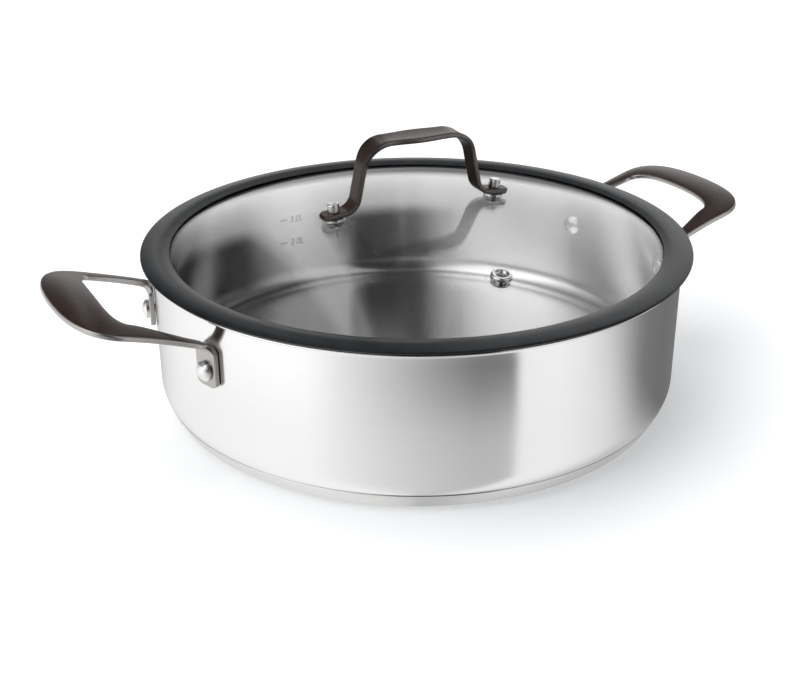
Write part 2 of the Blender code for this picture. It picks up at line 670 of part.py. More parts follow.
def build_lid():
    glass = turned("lid_glass", glass_profile(), LID_STEPS, CLEAR_GLASS)
    turned("lid_rim", rim_profile(), LID_STEPS, BLACK_SILICONE)
    handle = loft("lid_handle", lid_handle_sections(), BRONZE_STEEL)
    add_mirror(handle, 0)
    lid_turn = Matrix.Rotation(LID_TURN, 4, "Z")
    handle.matrix_world = lid_turn
    bore = SCREW + BORE_PLAY
    for side, sign in (("left", -1), ("right", 1)):
        frame = lid_turn @ dome_frame(sign * STUD_OFFSET, 0.0)
        stack = add_empty("lid_stack_" + side, frame)
        drill(glass, bore, -GLASS - CUT_MARGIN, CUT_MARGIN, frame)
        drill(handle, bore, STACK_FOOT - CUT_MARGIN / 4, STACK_NUT + CUT_MARGIN, frame)
        rows = (
            ("lid_gasket_", ring_profile(GASKET, bore, GAP, GASKET_SHEET), CLEAR_SILICONE),
            ("lid_washer_", washer_profile(), POLISHED_STEEL),
            ("lid_lower_gasket_", ring_profile(GASKET, bore, STACK_LOWER, GASKET_SHEET), CLEAR_SILICONE),
            ("lid_screw_", screw_profile(), POLISHED_STEEL),
            ("lid_nut_", nut_profile(), POLISHED_STEEL),
        )
        for name, profile, material in rows:
            turned(name + side, profile, SMALL_STEPS, material, stack)
    vent = add_empty("vent_place", lid_turn @ dome_frame(0.0, -VENT_OFFSET))
    drill(glass, VENT_TUBE + BORE_PLAY, -GLASS - CUT_MARGIN, CUT_MARGIN, vent.matrix_world)
    turned("vent_eyelet", vent_profile(), SMALL_STEPS, POLISHED_STEEL, vent)
    collar_low = -GLASS - GAP - VENT_COLLAR_SHEET
    collar = ring_profile(VENT_COLLAR, VENT_TUBE + BORE_PLAY, collar_low, VENT_COLLAR_SHEET)
    turned("vent_collar", collar, SMALL_STEPS, POLISHED_STEEL, vent)


build_pan()
build_lid()
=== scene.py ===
from math import asin, atan, cos, hypot, pi, radians, sin, sqrt, tan

import bmesh
import bpy
from mathutils import Matrix, Vector


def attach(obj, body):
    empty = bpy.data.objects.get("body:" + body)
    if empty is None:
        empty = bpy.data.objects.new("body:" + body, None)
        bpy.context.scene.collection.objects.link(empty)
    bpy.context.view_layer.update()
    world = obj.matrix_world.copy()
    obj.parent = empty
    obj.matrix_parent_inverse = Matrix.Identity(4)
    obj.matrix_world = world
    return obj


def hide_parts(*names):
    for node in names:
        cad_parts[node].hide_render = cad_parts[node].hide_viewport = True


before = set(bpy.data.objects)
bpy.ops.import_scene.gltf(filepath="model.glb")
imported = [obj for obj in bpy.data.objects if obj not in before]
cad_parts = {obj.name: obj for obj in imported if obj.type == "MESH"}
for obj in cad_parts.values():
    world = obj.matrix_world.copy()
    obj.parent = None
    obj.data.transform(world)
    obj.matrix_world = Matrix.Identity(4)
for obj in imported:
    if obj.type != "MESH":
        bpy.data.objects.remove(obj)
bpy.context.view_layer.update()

MM = 0.001

# Clearances
GAP = 0.3 * MM
LID_PLAY = 0.7 * MM
BORE_PLAY = 0.3 * MM

# Pan body and its layered base
PAN_RADIUS = 141.8 * MM
WALL = 1.2 * MM
FLOOR = 1.2 * MM
RIM_HEIGHT = 84.9 * MM
FLOOR_FILLET = 11.0 * MM
CORNER_RADIUS = 16.0 * MM
LIP_BEND = 2.4 * MM
LIP_FLAT = 0.6 * MM
BASE_HEIGHT = 8.8 * MM
BASE_INSET = 2.3 * MM
BASE_DRAFT = 4.3 * MM
CAP_SHEET = 0.8 * MM
CAP_ROUND = 1.0 * MM

# Side handles
STRAP = 2.7 * MM
STRAP_EDGE = 0.7 * MM
TAB_ANGLE = radians(17.2)
TAB_WIDTH = 14.6 * MM
TAB_DROP = 36.5 * MM
TAB_RISE = 23.0 * MM
TAB_CORNER = 2.6 * MM
TAB_BEND = 5.2 * MM
TAB_END_EDGE = 0.2  # share of the edge's rounding that is left at the tab's end
LEG_WIDTH = 6.6 * MM
LEG_SLOPE = radians(19.9)
LEG_LEAD = 3.3 * MM
LEG_INNER_LEAD = 6.1 * MM
HANDLE_SPREAD = 0.023
TIP_SLOPE = radians(12.7)
HANDLE_REACH = 57.7 * MM
HANDLE_HALF_WIDTH = 46.4 * MM
HANDLE_CORNER = 23.3 * MM
HANDLE_LEAD = 23.6 * MM
HANDLE_FULLNESS = 0.73
HANDLE_END = 0.65
GRIP_DEPTH = 20.3 * MM
LEG_RISE = 2.0 * MM
GRIP_RISE = 4.3 * MM
GRIP_BULGE = 0.35
HOLE_HALF_WIDTH = 34.5 * MM
HOLE_CORNER = 9.4 * MM
HOLE_LEAD = 2.3 * MM
HOLE_FULLNESS = 0.93
HOLE_END = 0.59

# Side of each handle and its turn from the right-hand one
SIDES = (("right", 0.0), ("left", pi))

# Pan rivets
RIVET_SEAT = 8.4 * MM
RIVET_SHANK = 2.4 * MM
RIVET_HEAD = 5.1 * MM
RIVET_CROWN = 2.5 * MM
RIVET_TAIL = 5.7 * MM
RIVET_TAIL_CROWN = 1.7 * MM
RIVET_RIM = 1.3 * MM
RIVET_TAIL_RIM = 0.4 * MM

# Glass and its silicone rim
GLASS_INSET = 4.2 * MM
GLASS_DROP = 0.5 * MM
GLASS = 3.5 * MM
DOME_RADIUS = 455.0 * MM
RIM_OVERHANG = 1.9 * MM
RIM_UNDERCUT = 1.7 * MM
RIM_SIDE = 1.7 * MM
RIM_EDGE_EASE = 0.9 * MM
RIM_EDGE_TUCK = 0.12
RIM_CROWN = 3.1 * MM
RIM_COVER = 4.3 * MM
RIM_LAP = 0.8 * MM
RIM_LAP_EASE = 0.5 * MM
SKIRT_DEPTH = 6.1 * MM
SKIRT_CHAMFER = 1.1 * MM

# Lid handle
LID_TURN = radians(-2.6)
LID_STRAP = 2.8 * MM
LID_STRAP_EDGE = 0.6 * MM
STUD_OFFSET = 47.6 * MM
BAR_RISE = 38.3 * MM
BAR_WIDTH = 18.4 * MM
BAR_HALF_LENGTH = 29.6 * MM
BAR_HOLLOW = 0.3 * MM
BAR_CORNER = 14.9 * MM
BAR_FLARE = 0.62
LID_LEG_WIDTH = 10.7 * MM
LID_LEG_SPLAY = radians(11.9)
FOOT_BEND = 9.0 * MM
FOOT_WIDTH = 10.6 * MM
FOOT_END = 7.3 * MM
FOOT_CHAMFER = 2.4 * MM
FOOT_END_TAPER = 0.8

# Lid fasteners
SCREW = 1.8 * MM
SCREW_HEAD = 4.0 * MM
SCREW_HEAD_HEIGHT = 2.0 * MM
SCREW_RIM = 0.6 * MM
WASHER = 5.6 * MM
WASHER_HEIGHT = 1.5 * MM
WASHER_EASE = 0.4 * MM
RING_EASE = 0.2
GASKET = 4.4 * MM
GASKET_SHEET = 0.5 * MM
NUT = 3.2 * MM
NUT_HEIGHT = 4.5 * MM
NUT_CHAMFER = 0.9 * MM
NUT_ROOF = 1.2 * MM

# Steam vent
VENT_INSET = 44.7 * MM
VENT_FLANGE = 5.35 * MM
VENT_FLANGE_HEIGHT = 2.2 * MM
VENT_FLANGE_EASE = 1.0 * MM
VENT_BORE = 2.2 * MM
VENT_TUBE = 2.9 * MM
VENT_FUNNEL = 3.9 * MM
VENT_FUNNEL_DEPTH = 1.65 * MM
VENT_FUNNEL_CURVE = ((0.0, 1.0), (0.18, 0.55), (0.5, 0.22))  # shares of its width and depth
VENT_FUNNEL_EASE = 0.4 * MM
VENT_FUNNEL_EASE_DEPTH = 0.12 * MM
VENT_COLLAR = 5.0 * MM
VENT_COLLAR_SHEET = 1.1 * MM
VENT_ROLL = 0.9 * MM
VENT_ROLL_REACH = 0.8 * MM

# Litre marks inside the wall
MARK_LITRES = (2.0, 3.0)
MARK_LOWEST = 40.1 * MM
MARK_STEP = 15.4 * MM
MARK_ANGLE = radians(99.1)
MARK_TICK = 5.4 * MM
MARK_SPACE = 2.2 * MM
MARK_TEXT = 4.8 * MM
MARK_TYPE_SIZE = 1.35  # of the type, over the height of its capitals
MARK_NARROW = 0.82
MARK_SPACING = 1.04
MARK_SLANT = 0.12
MARK_LINE = 0.7 * MM
MARK_RELIEF = 0.03 * MM

# Fineness of the meshes
BODY_STEPS = 256
SMALL_STEPS = 48
ARC_STEPS = 12
GLASS_RINGS = 40
WALL_ROWS = 16
RING_EDGE_STEPS = 4
EDGE_STEPS = 6
ROUND_STEPS = 8
STRAP_ROUND_STEPS = 4
STRAP_ACROSS_STEPS = 10
CORNER_STEPS = 16
LEG_STEPS = 16
GRIP_STEPS = 44
SHARP_ANGLE = radians(38)
CUT_MARGIN = 4.0 * MM

# Sizes that follow from those above
WALL_RADIUS = PAN_RADIUS + WALL
BASE_RADIUS = WALL_RADIUS - BASE_INSET
FLOOR_HEIGHT = BASE_HEIGHT + FLOOR
LIP_RADIUS = WALL_RADIUS + LIP_BEND + LIP_FLAT + WALL / 2
RIM_BOTTOM = RIM_HEIGHT + GAP
RIM_RADIUS = LIP_RADIUS + RIM_OVERHANG
SKIRT_RADIUS = PAN_RADIUS - LID_PLAY
GLASS_RADIUS = PAN_RADIUS - GLASS_INSET
COVER_RADIUS = GLASS_RADIUS - RIM_COVER
DOME_APEX = RIM_BOTTOM - GLASS_DROP + DOME_RADIUS - sqrt(DOME_RADIUS**2 - GLASS_RADIUS**2)
BAR_TOP = DOME_APEX + BAR_RISE
VENT_OFFSET = GLASS_RADIUS - VENT_INSET
TAB_BOTTOM = RIM_HEIGHT - TAB_DROP
LEG_HEIGHT = TAB_BOTTOM + TAB_RISE
RIVET_HEIGHT = TAB_BOTTOM + RIVET_SEAT
TAB_MIDDLE = WALL_RADIUS + GAP + STRAP / 2
TAB_FACE = TAB_MIDDLE + STRAP / 2
STACK_ROOF = GAP + GASKET_SHEET + GAP
STACK_FOOT = GAP + WASHER_HEIGHT + GAP
STACK_NUT = STACK_FOOT + LID_STRAP + GAP
STACK_LOWER = -GLASS - GAP - GASKET_SHEET
STACK_HEAD = STACK_LOWER - GAP

# Surface patterns of several materials
NOISE_RANGE = (0.3, 0.7)  # where most of a noise pattern's values lie
GRAIN_DEPTH = 0.02 * MM

# Metal: colour, roughness and depth of the streaks of the brushed steels, then the others
WALL_STEEL = ((0.86, 0.86, 0.855), 0.17, 0.03)
BASE_STEEL = ((0.76, 0.76, 0.755), 0.22, 0.06)
STEEL_DRIFT = 0.01
BRUSH_ALONG = 3.0
BRUSH_ACROSS = 3600.0
BRUSH_DEPTH = 0.003 * MM
BRUSH_TURN = 0.25
POLISHED = (0.80, 0.80, 0.79)
POLISHED_ROUGHNESS = (0.22, 0.32)
CORE_METAL = (0.62, 0.63, 0.65)
CORE_ROUGHNESS = (0.38, 0.50)

# Coating of the handles, and light metal on faces that look along the given axes: partly bare wear, partly
# painted highlight
BRONZE = (0.021, 0.012, 0.0095)
BRONZE_LIGHT = (0.028, 0.0165, 0.013)
BRONZE_CLOUDS = (0.35, 0.65)
BRONZE_ROUGHNESS = (0.24, 0.32)
BRONZE_SHEEN = 0.16
# Axes and tone of each handle's light metal: part worn edge, part painted highlight, brighter on the side
# handles than on the lid's
SIDE_BARE_AND_HIGHLIGHT = ((1.0, 1.0, 0.0), (0.46, 0.44, 0.43))
LID_BARE_AND_HIGHLIGHT = ((0.0, 1.0, 0.0), (0.15, 0.135, 0.13))
BARE_AND_HIGHLIGHT_REACH = (0.50, 0.80)

# Silicone, glass and the marks' ink
RUBBER = (0.009, 0.010, 0.012)
RUBBER_DUSTY = (0.016, 0.018, 0.020)
RUBBER_ROUGHNESS = (0.26, 0.34)
RUBBER_SHEEN = 0.16
RUBBER_GRAIN_DEPTH = 0.03 * MM
CLEAR_GLASS = (0.972, 0.978, 0.975)
GLASS_INDEX = 1.50
GLASS_SMEARS = (0.45, 0.8)
GLASS_ROUGHNESS = (0.0, 0.03)
CLEAR_RUBBER = (0.80, 0.82, 0.82)
CLEAR_RUBBER_INDEX = 1.41
CLEAR_RUBBER_ROUGHNESS = (0.25, 0.40)
CLEAR_RUBBER_SHARE = 0.7
INK = (0.010, 0.010, 0.010)
INK_WORN = (0.025, 0.025, 0.025)
INK_ROUGHNESS = 0.6

# Camera
VIEW_SIDE = radians(28.87)
VIEW_DISTANCE = 0.644
VIEW_HEIGHT = 0.324
VIEW_PITCH = radians(25.132)
VIEW_YAW = radians(-0.803)
VIEW_ROLL = radians(-0.248)
VIEW_LENS = 56.25
VIEW_SENSOR = 36.0
VIEW_NEAR = 10.0 * MM

# Studio: brightness of the surroundings by compass direction in degrees, in rows from the floor up
LOW_PANELS = (
    (-180, 1.22),
    (-165, 1.20),
    (-158, 1.08),
    (-148, 0.90),
    (-130, 0.62),
    (-112, 0.36),
    (-94, 0.16),
    (-77, 0.12),
    (-75, 1.00),
    (-58, 1.06),
    (-45, 0.97),
    (-30, 0.73),
    (-18, 0.42),
    (-7, 0.20),
    (15, 0.16),
    (60, 0.20),
    (90, 0.75),
    (107, 0.95),
    (124, 1.10),
    (150, 1.20),
    (180, 1.22),
)
HORIZON_PANELS = (
    (-180, 1.40),
    (-166, 1.30),
    (-154, 0.95),
    (-143, 0.30),
    (-130, 0.03),
    (-87, 0.02),
    (-84, 0.75),
    (-60, 0.75),
    (-44, 0.60),
    (-30, 0.50),
    (-14, 0.90),
    (0, 1.20),
    (20, 1.20),
    (40, 1.15),
    (74, 1.10),
    (79, 0.80),
    (84, 0.35),
    (108, 0.06),
    (122, 0.30),
    (138, 0.70),
    (156, 1.15),
    (180, 1.40),
)
HIGH_PANELS = (
    (-180, 1.60),
    (-165, 1.50),
    (-150, 1.15),
    (-140, 0.85),
    (-132, 0.35),
    (-124, 0.03),
    (-87, 0.02),
    (-84, 0.45),
    (-60, 0.45),
    (-48, 0.45),
    (-36, 0.15),
    (-26, 0.08),
    (-4, 0.12),
    (14, 0.30),
    (28, 0.70),
    (36, 1.15),
    (55, 1.25),
    (61, 0.12),
    (70, 0.06),
    (71, 1.05),
    (76, 1.05),
    (79, 0.05),
    (118, 0.02),
    (135, 0.20),
    (150, 0.55),
    (162, 1.15),
    (172, 1.55),
    (180, 1.60),
)
LOW_BLEND = (-0.08, 0.04)
HIGH_BLEND = (0.29, 0.41)
OVERHEAD = 0.20
OVERHEAD_BLEND = (0.94, 0.99)
KEY_AZIMUTH = radians(128)
KEY_ELEVATION = radians(62)
KEY_SPREAD = radians(65)
KEY_POWER = 2.1
FLOOR_SIZE = 12.0
FLOOR_ALBEDO = 0.82
FLOOR_LIFT = (0.29, 0.30, 0.31)
GLOW_LEVEL = 0.96  # of the floor in the metal, near the pan's front
GLOW_SHARE = 0.55
GLOW_REACH = (0.225, 0.280)  # where it fades out, from the pan's axis
GLOW_AZIMUTH = radians(-125)
GLOW_SIDES = (0.10, 0.55)


def plug(tree, socket, value):
    """Link another node's output to a socket, or set it to a number or a colour."""
    if isinstance(value, bpy.types.NodeSocket):
        tree.links.new(value, socket)
    elif socket.type == "RGBA":
        socket.default_value = (*value, 1.0)
    else:
        socket.default_value = value


def math_node(tree, operation, first, second):
    node = tree.nodes.new("ShaderNodeMath")
    node.operation = operation
    plug(tree, node.inputs[0], first)
    plug(tree, node.inputs[1], second)
    return node.outputs[0]


def vector_node(tree, operation, vector, constant=None):
    """What a vector operation gives, a number or a vector, alone or with a constant vector."""
    node = tree.nodes.new("ShaderNodeVectorMath")
    node.operation = operation
    tree.links.new(vector, node.inputs[0])
    if constant:
        node.inputs[1].default_value = constant
    return node.outputs["Value" if operation in ("LENGTH", "DOT_PRODUCT") else "Vector"]


def parts_of(tree, vector):
    node = tree.nodes.new("ShaderNodeSeparateXYZ")
    tree.links.new(vector, node.inputs[0])
    return node.outputs


def map_range(tree, value, low, high, to_low, to_high, smooth=False):
    node = tree.nodes.new("ShaderNodeMapRange")
    node.interpolation_type = "SMOOTHSTEP" if smooth else "LINEAR"
    for name, number in (("From Min", low), ("From Max", high), ("To Min", to_low), ("To Max", to_high)):
        node.inputs[name].default_value = number
    tree.links.new(value, node.inputs["Value"])
    return node.outputs["Result"]


def ramp(tree, factor, stops):
    node = tree.nodes.new("ShaderNodeValToRGB")
    elements = node.color_ramp.elements
    while len(elements) < len(stops):
        elements.new(0.5)
    for element, (place, colour) in zip(elements, stops):
        element.position = place
        element.color = (*colour, 1.0)
    tree.links.new(factor, node.inputs["Fac"])
    return node.outputs["Color"]


def mix_colour(tree, factor, first, second):
    """Blend of two colours, by the node's own sockets for colours: 6 and 7 in, 2 out."""
    node = tree.nodes.new("ShaderNodeMix")
    node.data_type = "RGBA"
    plug(tree, node.inputs["Factor"], factor)
    plug(tree, node.inputs[6], first)
    plug(tree, node.inputs[7], second)
    return node.outputs[2]


def mix_shader(tree, factor, first, second):
    node = tree.nodes.new("ShaderNodeMixShader")
    for socket, value in zip(node.inputs, (factor, first, second)):
        tree.links.new(value, socket)
    return node.outputs[0]


def noise(tree, vector, scale, detail):
    node = tree.nodes.new("ShaderNodeTexNoise")
    node.inputs["Scale"].default_value = scale
    node.inputs["Detail"].default_value = detail
    tree.links.new(vector, node.inputs["Vector"])
    return node.outputs["Fac"]


def spread(tree, pattern, low, high):
    """A noise pattern, with most of its values spread from low to high."""
    return map_range(tree, pattern, *NOISE_RANGE, low, high)


def two_tones(tree, pattern, first, second, reach=NOISE_RANGE):
    """One colour where a noise pattern is low, and another where it is high."""
    return ramp(tree, pattern, list(zip(reach, (first, second))))


def bump(tree, height, distance):
    node = tree.nodes.new("ShaderNodeBump")
    node.inputs["Distance"].default_value = distance
    tree.links.new(height, node.inputs["Height"])
    return node.outputs["Normal"]


def object_place(tree):
    return tree.nodes.new("ShaderNodeTexCoord").outputs["Object"]


def brush_marks(tree):
    """Coordinates for brush marks round the Z axis, on wall and floor: slow along a mark and fast across."""
    place = object_place(tree)
    flat = vector_node(tree, "MULTIPLY", place, (1.0, 1.0, 0.0))
    heading = parts_of(tree, vector_node(tree, "NORMALIZE", flat))
    run = math_node(tree, "ADD", vector_node(tree, "LENGTH", flat), parts_of(tree, place)["Z"])
    joined = tree.nodes.new("ShaderNodeCombineXYZ")
    tree.links.new(math_node(tree, "MULTIPLY", heading["X"], BRUSH_ALONG), joined.inputs["X"])
    tree.links.new(math_node(tree, "MULTIPLY", heading["Y"], BRUSH_ALONG), joined.inputs["Y"])
    tree.links.new(math_node(tree, "MULTIPLY", run, BRUSH_ACROSS), joined.inputs["Z"])
    return joined.outputs[0]


def new_material(name, colour, metallic):
    material = bpy.data.materials.new(name)
    material.use_nodes = True
    tree = material.node_tree
    shader = tree.nodes["Principled BSDF"]
    shader.inputs["Base Color"].default_value = (*colour, 1.0)
    shader.inputs["Metallic"].default_value = metallic
    return material, tree, shader


def brushed_steel(name, colour, roughness, streak):
    """Steel brushed round the pan's axis, which spreads a reflection across the marks only."""
    material, tree, shader = new_material(name, colour, 1.0)
    marks = noise(tree, brush_marks(tree), 1.0, 3.0)
    tint = tree.nodes.new("ShaderNodeVectorMath")
    tint.operation = "SCALE"
    tint.inputs[0].default_value = colour
    tree.links.new(spread(tree, marks, 1.0 - streak, 1.0), tint.inputs["Scale"])
    tree.links.new(tint.outputs[0], shader.inputs["Base Color"])
    cloud = noise(tree, object_place(tree), 16.0, 3.0)
    uneven = spread(tree, cloud, roughness - STEEL_DRIFT, roughness + STEEL_DRIFT)
    tree.links.new(uneven, shader.inputs["Roughness"])
    tree.links.new(bump(tree, marks, BRUSH_DEPTH), shader.inputs["Normal"])
    shader.inputs["Anisotropic"].default_value = 1.0
    shader.inputs["Anisotropic Rotation"].default_value = BRUSH_TURN
    tangent = tree.nodes.new("ShaderNodeTangent")
    tangent.direction_type = "RADIAL"
    tangent.axis = "Z"
    tree.links.new(tangent.outputs[0], shader.inputs["Tangent"])
    return material


def polished_steel():
    material, tree, shader = new_material("look_polished_steel", POLISHED, 1.0)
    place = object_place(tree)
    soft = noise(tree, place, 900.0, 3.0)
    tree.links.new(spread(tree, soft, *POLISHED_ROUGHNESS), shader.inputs["Roughness"])
    tree.links.new(bump(tree, noise(tree, place, 420.0, 2.0), GRAIN_DEPTH), shader.inputs["Normal"])
    return material


def bronze_coating(name, bare_and_highlight_along, bare_and_highlight_tone):
    """Dark brown coating with a fine grain, turned to light metal on faces that look along the given axes:
    partly wear, partly a painted highlight.
    """
    material, tree, shader = new_material(name, BRONZE, 0.0)
    place = object_place(tree)
    cloud = noise(tree, place, 38.0, 4.0)
    grain = noise(tree, place, 2600.0, 2.0)
    tone = two_tones(tree, cloud, BRONZE, BRONZE_LIGHT, BRONZE_CLOUDS)
    normal = tree.nodes.new("ShaderNodeTexCoord").outputs["Normal"]
    # Light metal on faces along the axes: part wear, part a painted highlight where those faces catch the
    # light
    facing = vector_node(tree, "LENGTH", vector_node(tree, "MULTIPLY", normal, bare_and_highlight_along))
    bare_and_highlight = map_range(tree, facing, *BARE_AND_HIGHLIGHT_REACH, 0.0, 1.0, smooth=True)
    tree.links.new(bare_and_highlight, shader.inputs["Metallic"])
    tree.links.new(mix_colour(tree, bare_and_highlight, tone, bare_and_highlight_tone), shader.inputs["Base Color"])
    tree.links.new(spread(tree, grain, *BRONZE_ROUGHNESS), shader.inputs["Roughness"])
    tree.links.new(bump(tree, grain, GRAIN_DEPTH), shader.inputs["Normal"])
    shader.inputs["Specular IOR Level"].default_value = BRONZE_SHEEN
    return material


def silicone():
    material, tree, shader = new_material("look_black_silicone", RUBBER_DUSTY, 0.0)
    place = object_place(tree)
    dust = noise(tree, place, 60.0, 4.0)
    grain = noise(tree, place, 2200.0, 2.0)
    tree.links.new(two_tones(tree, dust, RUBBER, RUBBER_DUSTY), shader.inputs["Base Color"])
    tree.links.new(spread(tree, grain, *RUBBER_ROUGHNESS), shader.inputs["Roughness"])
    tree.links.new(bump(tree, grain, RUBBER_GRAIN_DEPTH), shader.inputs["Normal"])
    shader.inputs["Specular IOR Level"].default_value = RUBBER_SHEEN
    return material


def clear_glass():
    material, tree, shader = new_material("look_clear_glass", CLEAR_GLASS, 0.0)
    smear = noise(tree, object_place(tree), 14.0, 3.0)
    tree.links.new(map_range(tree, smear, *GLASS_SMEARS, *GLASS_ROUGHNESS), shader.inputs["Roughness"])
    shader.inputs["Transmission Weight"].default_value = 1.0
    shader.inputs["IOR"].default_value = GLASS_INDEX
    return material


def clear_silicone():
    material, tree, shader = new_material("look_clear_silicone", CLEAR_RUBBER, 0.0)
    milk = noise(tree, object_place(tree), 300.0, 3.0)
    tree.links.new(spread(tree, milk, *CLEAR_RUBBER_ROUGHNESS), shader.inputs["Roughness"])
    shader.inputs["Transmission Weight"].default_value = CLEAR_RUBBER_SHARE
    shader.inputs["IOR"].default_value = CLEAR_RUBBER_INDEX
    return material


def core_metal():
    material, tree, shader = new_material("look_core_aluminium", CORE_METAL, 1.0)
    grain = noise(tree, object_place(tree), 800.0, 3.0)
    tree.links.new(spread(tree, grain, *CORE_ROUGHNESS), shader.inputs["Roughness"])
    return material


def mark_ink():
    """Dark litre marks, a little uneven."""
    material, tree, shader = new_material("look_mark_ink", INK_WORN, 0.0)
    worn = noise(tree, object_place(tree), 1500.0, 2.0)
    tree.links.new(two_tones(tree, worn, INK, INK_WORN), shader.inputs["Base Color"])
    shader.inputs["Roughness"].default_value = INK_ROUGHNESS
    return material


def add_piece(mesh, name, material, body, node=None):
    """A piece from a mesh, with its material and shading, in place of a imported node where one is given."""
    mesh.name = name
    mesh.materials.clear()
    mesh.materials.append(material)
    mesh.shade_smooth()
    mesh.set_sharp_from_angle(angle=SHARP_ANGLE)
    piece = bpy.data.objects.new(name, mesh)
    bpy.context.scene.collection.objects.link(piece)
    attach(piece, body)
    if node:
        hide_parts(node)


def refine(mesh, node, material, body):
    """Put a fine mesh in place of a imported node."""
    add_piece(mesh, node + "_fine", material, body, node)


def arc(centre, radius, start, end, steps=ARC_STEPS):
    angles = [start + (end - start) * step / steps for step in range(steps + 1)]
    return [(centre[0] + radius * cos(a), centre[1] + radius * sin(a)) for a in angles]


def turned(profile, steps, placement=None):
    """Mesh of a profile turned round Z. One that starts on the axis ends on it, and any other is a ring."""
    form = bmesh.new()
    closed = profile[0][0] > 0
    count = len(profile)
    rings = []
    for radius, height in profile:
        if radius == 0.0:
            rings.append([form.verts.new((0.0, 0.0, height))] * steps)
        else:
            turns = [2 * pi * step / steps for step in range(steps)]
            rings.append([form.verts.new((radius * cos(a), radius * sin(a), height)) for a in turns])
    for index in range(count if closed else count - 1):
        upper = rings[index]
        lower = rings[(index + 1) % count]
        for step in range(steps):
            following = (step + 1) % steps
            corners = [upper[following], upper[step], lower[step], lower[following]]
            form.faces.new(list(dict.fromkeys(corners)))
    mesh = bpy.data.meshes.new("turned")
    form.to_mesh(mesh)
    form.free()
    if placement:
        mesh.transform(placement)
    return mesh


def drilled(mesh, drills):
    """The mesh with round holes, each given as (radius, low, high, placement)."""
    blank = bpy.data.objects.new("blank", mesh)
    bpy.context.scene.collection.objects.link(blank)
    tools = []
    for radius, low, high, placement in drills:
        outline = [(0.0, high), (radius, high), (radius, low), (0.0, low)]
        tool = bpy.data.objects.new("drill", turned(outline, SMALL_STEPS, placement))
        bpy.context.scene.collection.objects.link(tool)
        cut = blank.modifiers.new("hole", "BOOLEAN")
        cut.operation = "DIFFERENCE"
        cut.solver = "EXACT"
        cut.object = tool
        tools.append(tool)
    graph = bpy.context.evaluated_depsgraph_get()
    cut_mesh = bpy.data.meshes.new_from_object(blank.evaluated_get(graph))
    for used in [blank] + tools:
        bpy.data.objects.remove(used, do_unlink=True)
    return cut_mesh


def dome_height(radius, thickness=0.0):
    inner = DOME_RADIUS - thickness
    return DOME_APEX - DOME_RADIUS + sqrt(inner**2 - radius**2)


def dome_frame(x, y):
    """Placement on the glass's upper surface, with Z along the dome's normal, on the turned lid."""
    foot = Vector((x, y, dome_height(hypot(x, y))))
    normal = foot - Vector((0.0, 0.0, DOME_APEX - DOME_RADIUS))
    turn = Vector((0.0, 0.0, 1.0)).rotation_difference(normal)
    return Matrix.Rotation(LID_TURN, 4, "Z") @ Matrix.Translation(foot) @ turn.to_matrix().to_4x4()


def bezier(points, t):
    p0, p1, p2, p3 = (Vector(p) for p in points)
    s = 1.0 - t
    return s**3 * p0 + 3 * s * s * t * p1 + 3 * s * t * t * p2 + t**3 * p3


def smooth_step(value):
    value = min(max(value, 0.0), 1.0)
    return value * value * (3.0 - 2.0 * value)


def strap_section(outer, inner, normal, thickness, edge, sag):
    """Points round a flat strap with rounded edges. sag(f) lowers it across its width, f from 0 to 1."""
    width = (inner - outer).length
    half = thickness / 2
    ease = edge / width
    upper = [(ease + (1 - 2 * ease) * i / STRAP_ACROSS_STEPS, half) for i in range(STRAP_ACROSS_STEPS + 1)]
    rounds = [i / STRAP_ROUND_STEPS * pi / 2 for i in range(1, STRAP_ROUND_STEPS + 1)]
    side = [(1 - ease + ease * sin(a), half - edge + edge * cos(a)) for a in rounds]
    right = side + [(f, -h) for f, h in reversed(side)]
    lower = [(f, -h) for f, h in reversed(upper)]
    left = [(1 - f, -h) for f, h in side] + [(1 - f, h) for f, h in reversed(side)]
    return [outer.lerp(inner, f) + normal * (h - sag(f)) for f, h in upper + right + lower + left]


def loft(sections):
    """Closed skin over a row of like sections."""
    form = bmesh.new()
    rings = [[form.verts.new(point) for point in section] for section in sections]
    count = len(rings[0])
    for before, after in zip(rings, rings[1:]):
        for i in range(count):
            j = (i + 1) % count
            form.faces.new((before[j], before[i], after[i], after[j]))
    form.faces.new(rings[0])
    form.faces.new(list(reversed(rings[-1])))
    mesh = bpy.data.meshes.new("loft")
    form.to_mesh(mesh)
    form.free()
    return mesh


def both_halves(sections, axis):
    """The sections and their mirror images across a plane, in one row."""
    mirror = Vector([-1.0 if i == axis else 1.0 for i in range(3)])
    other = []
    for section in reversed(sections[:-1]):
        other.append([point * mirror for point in section])
    return sections + other


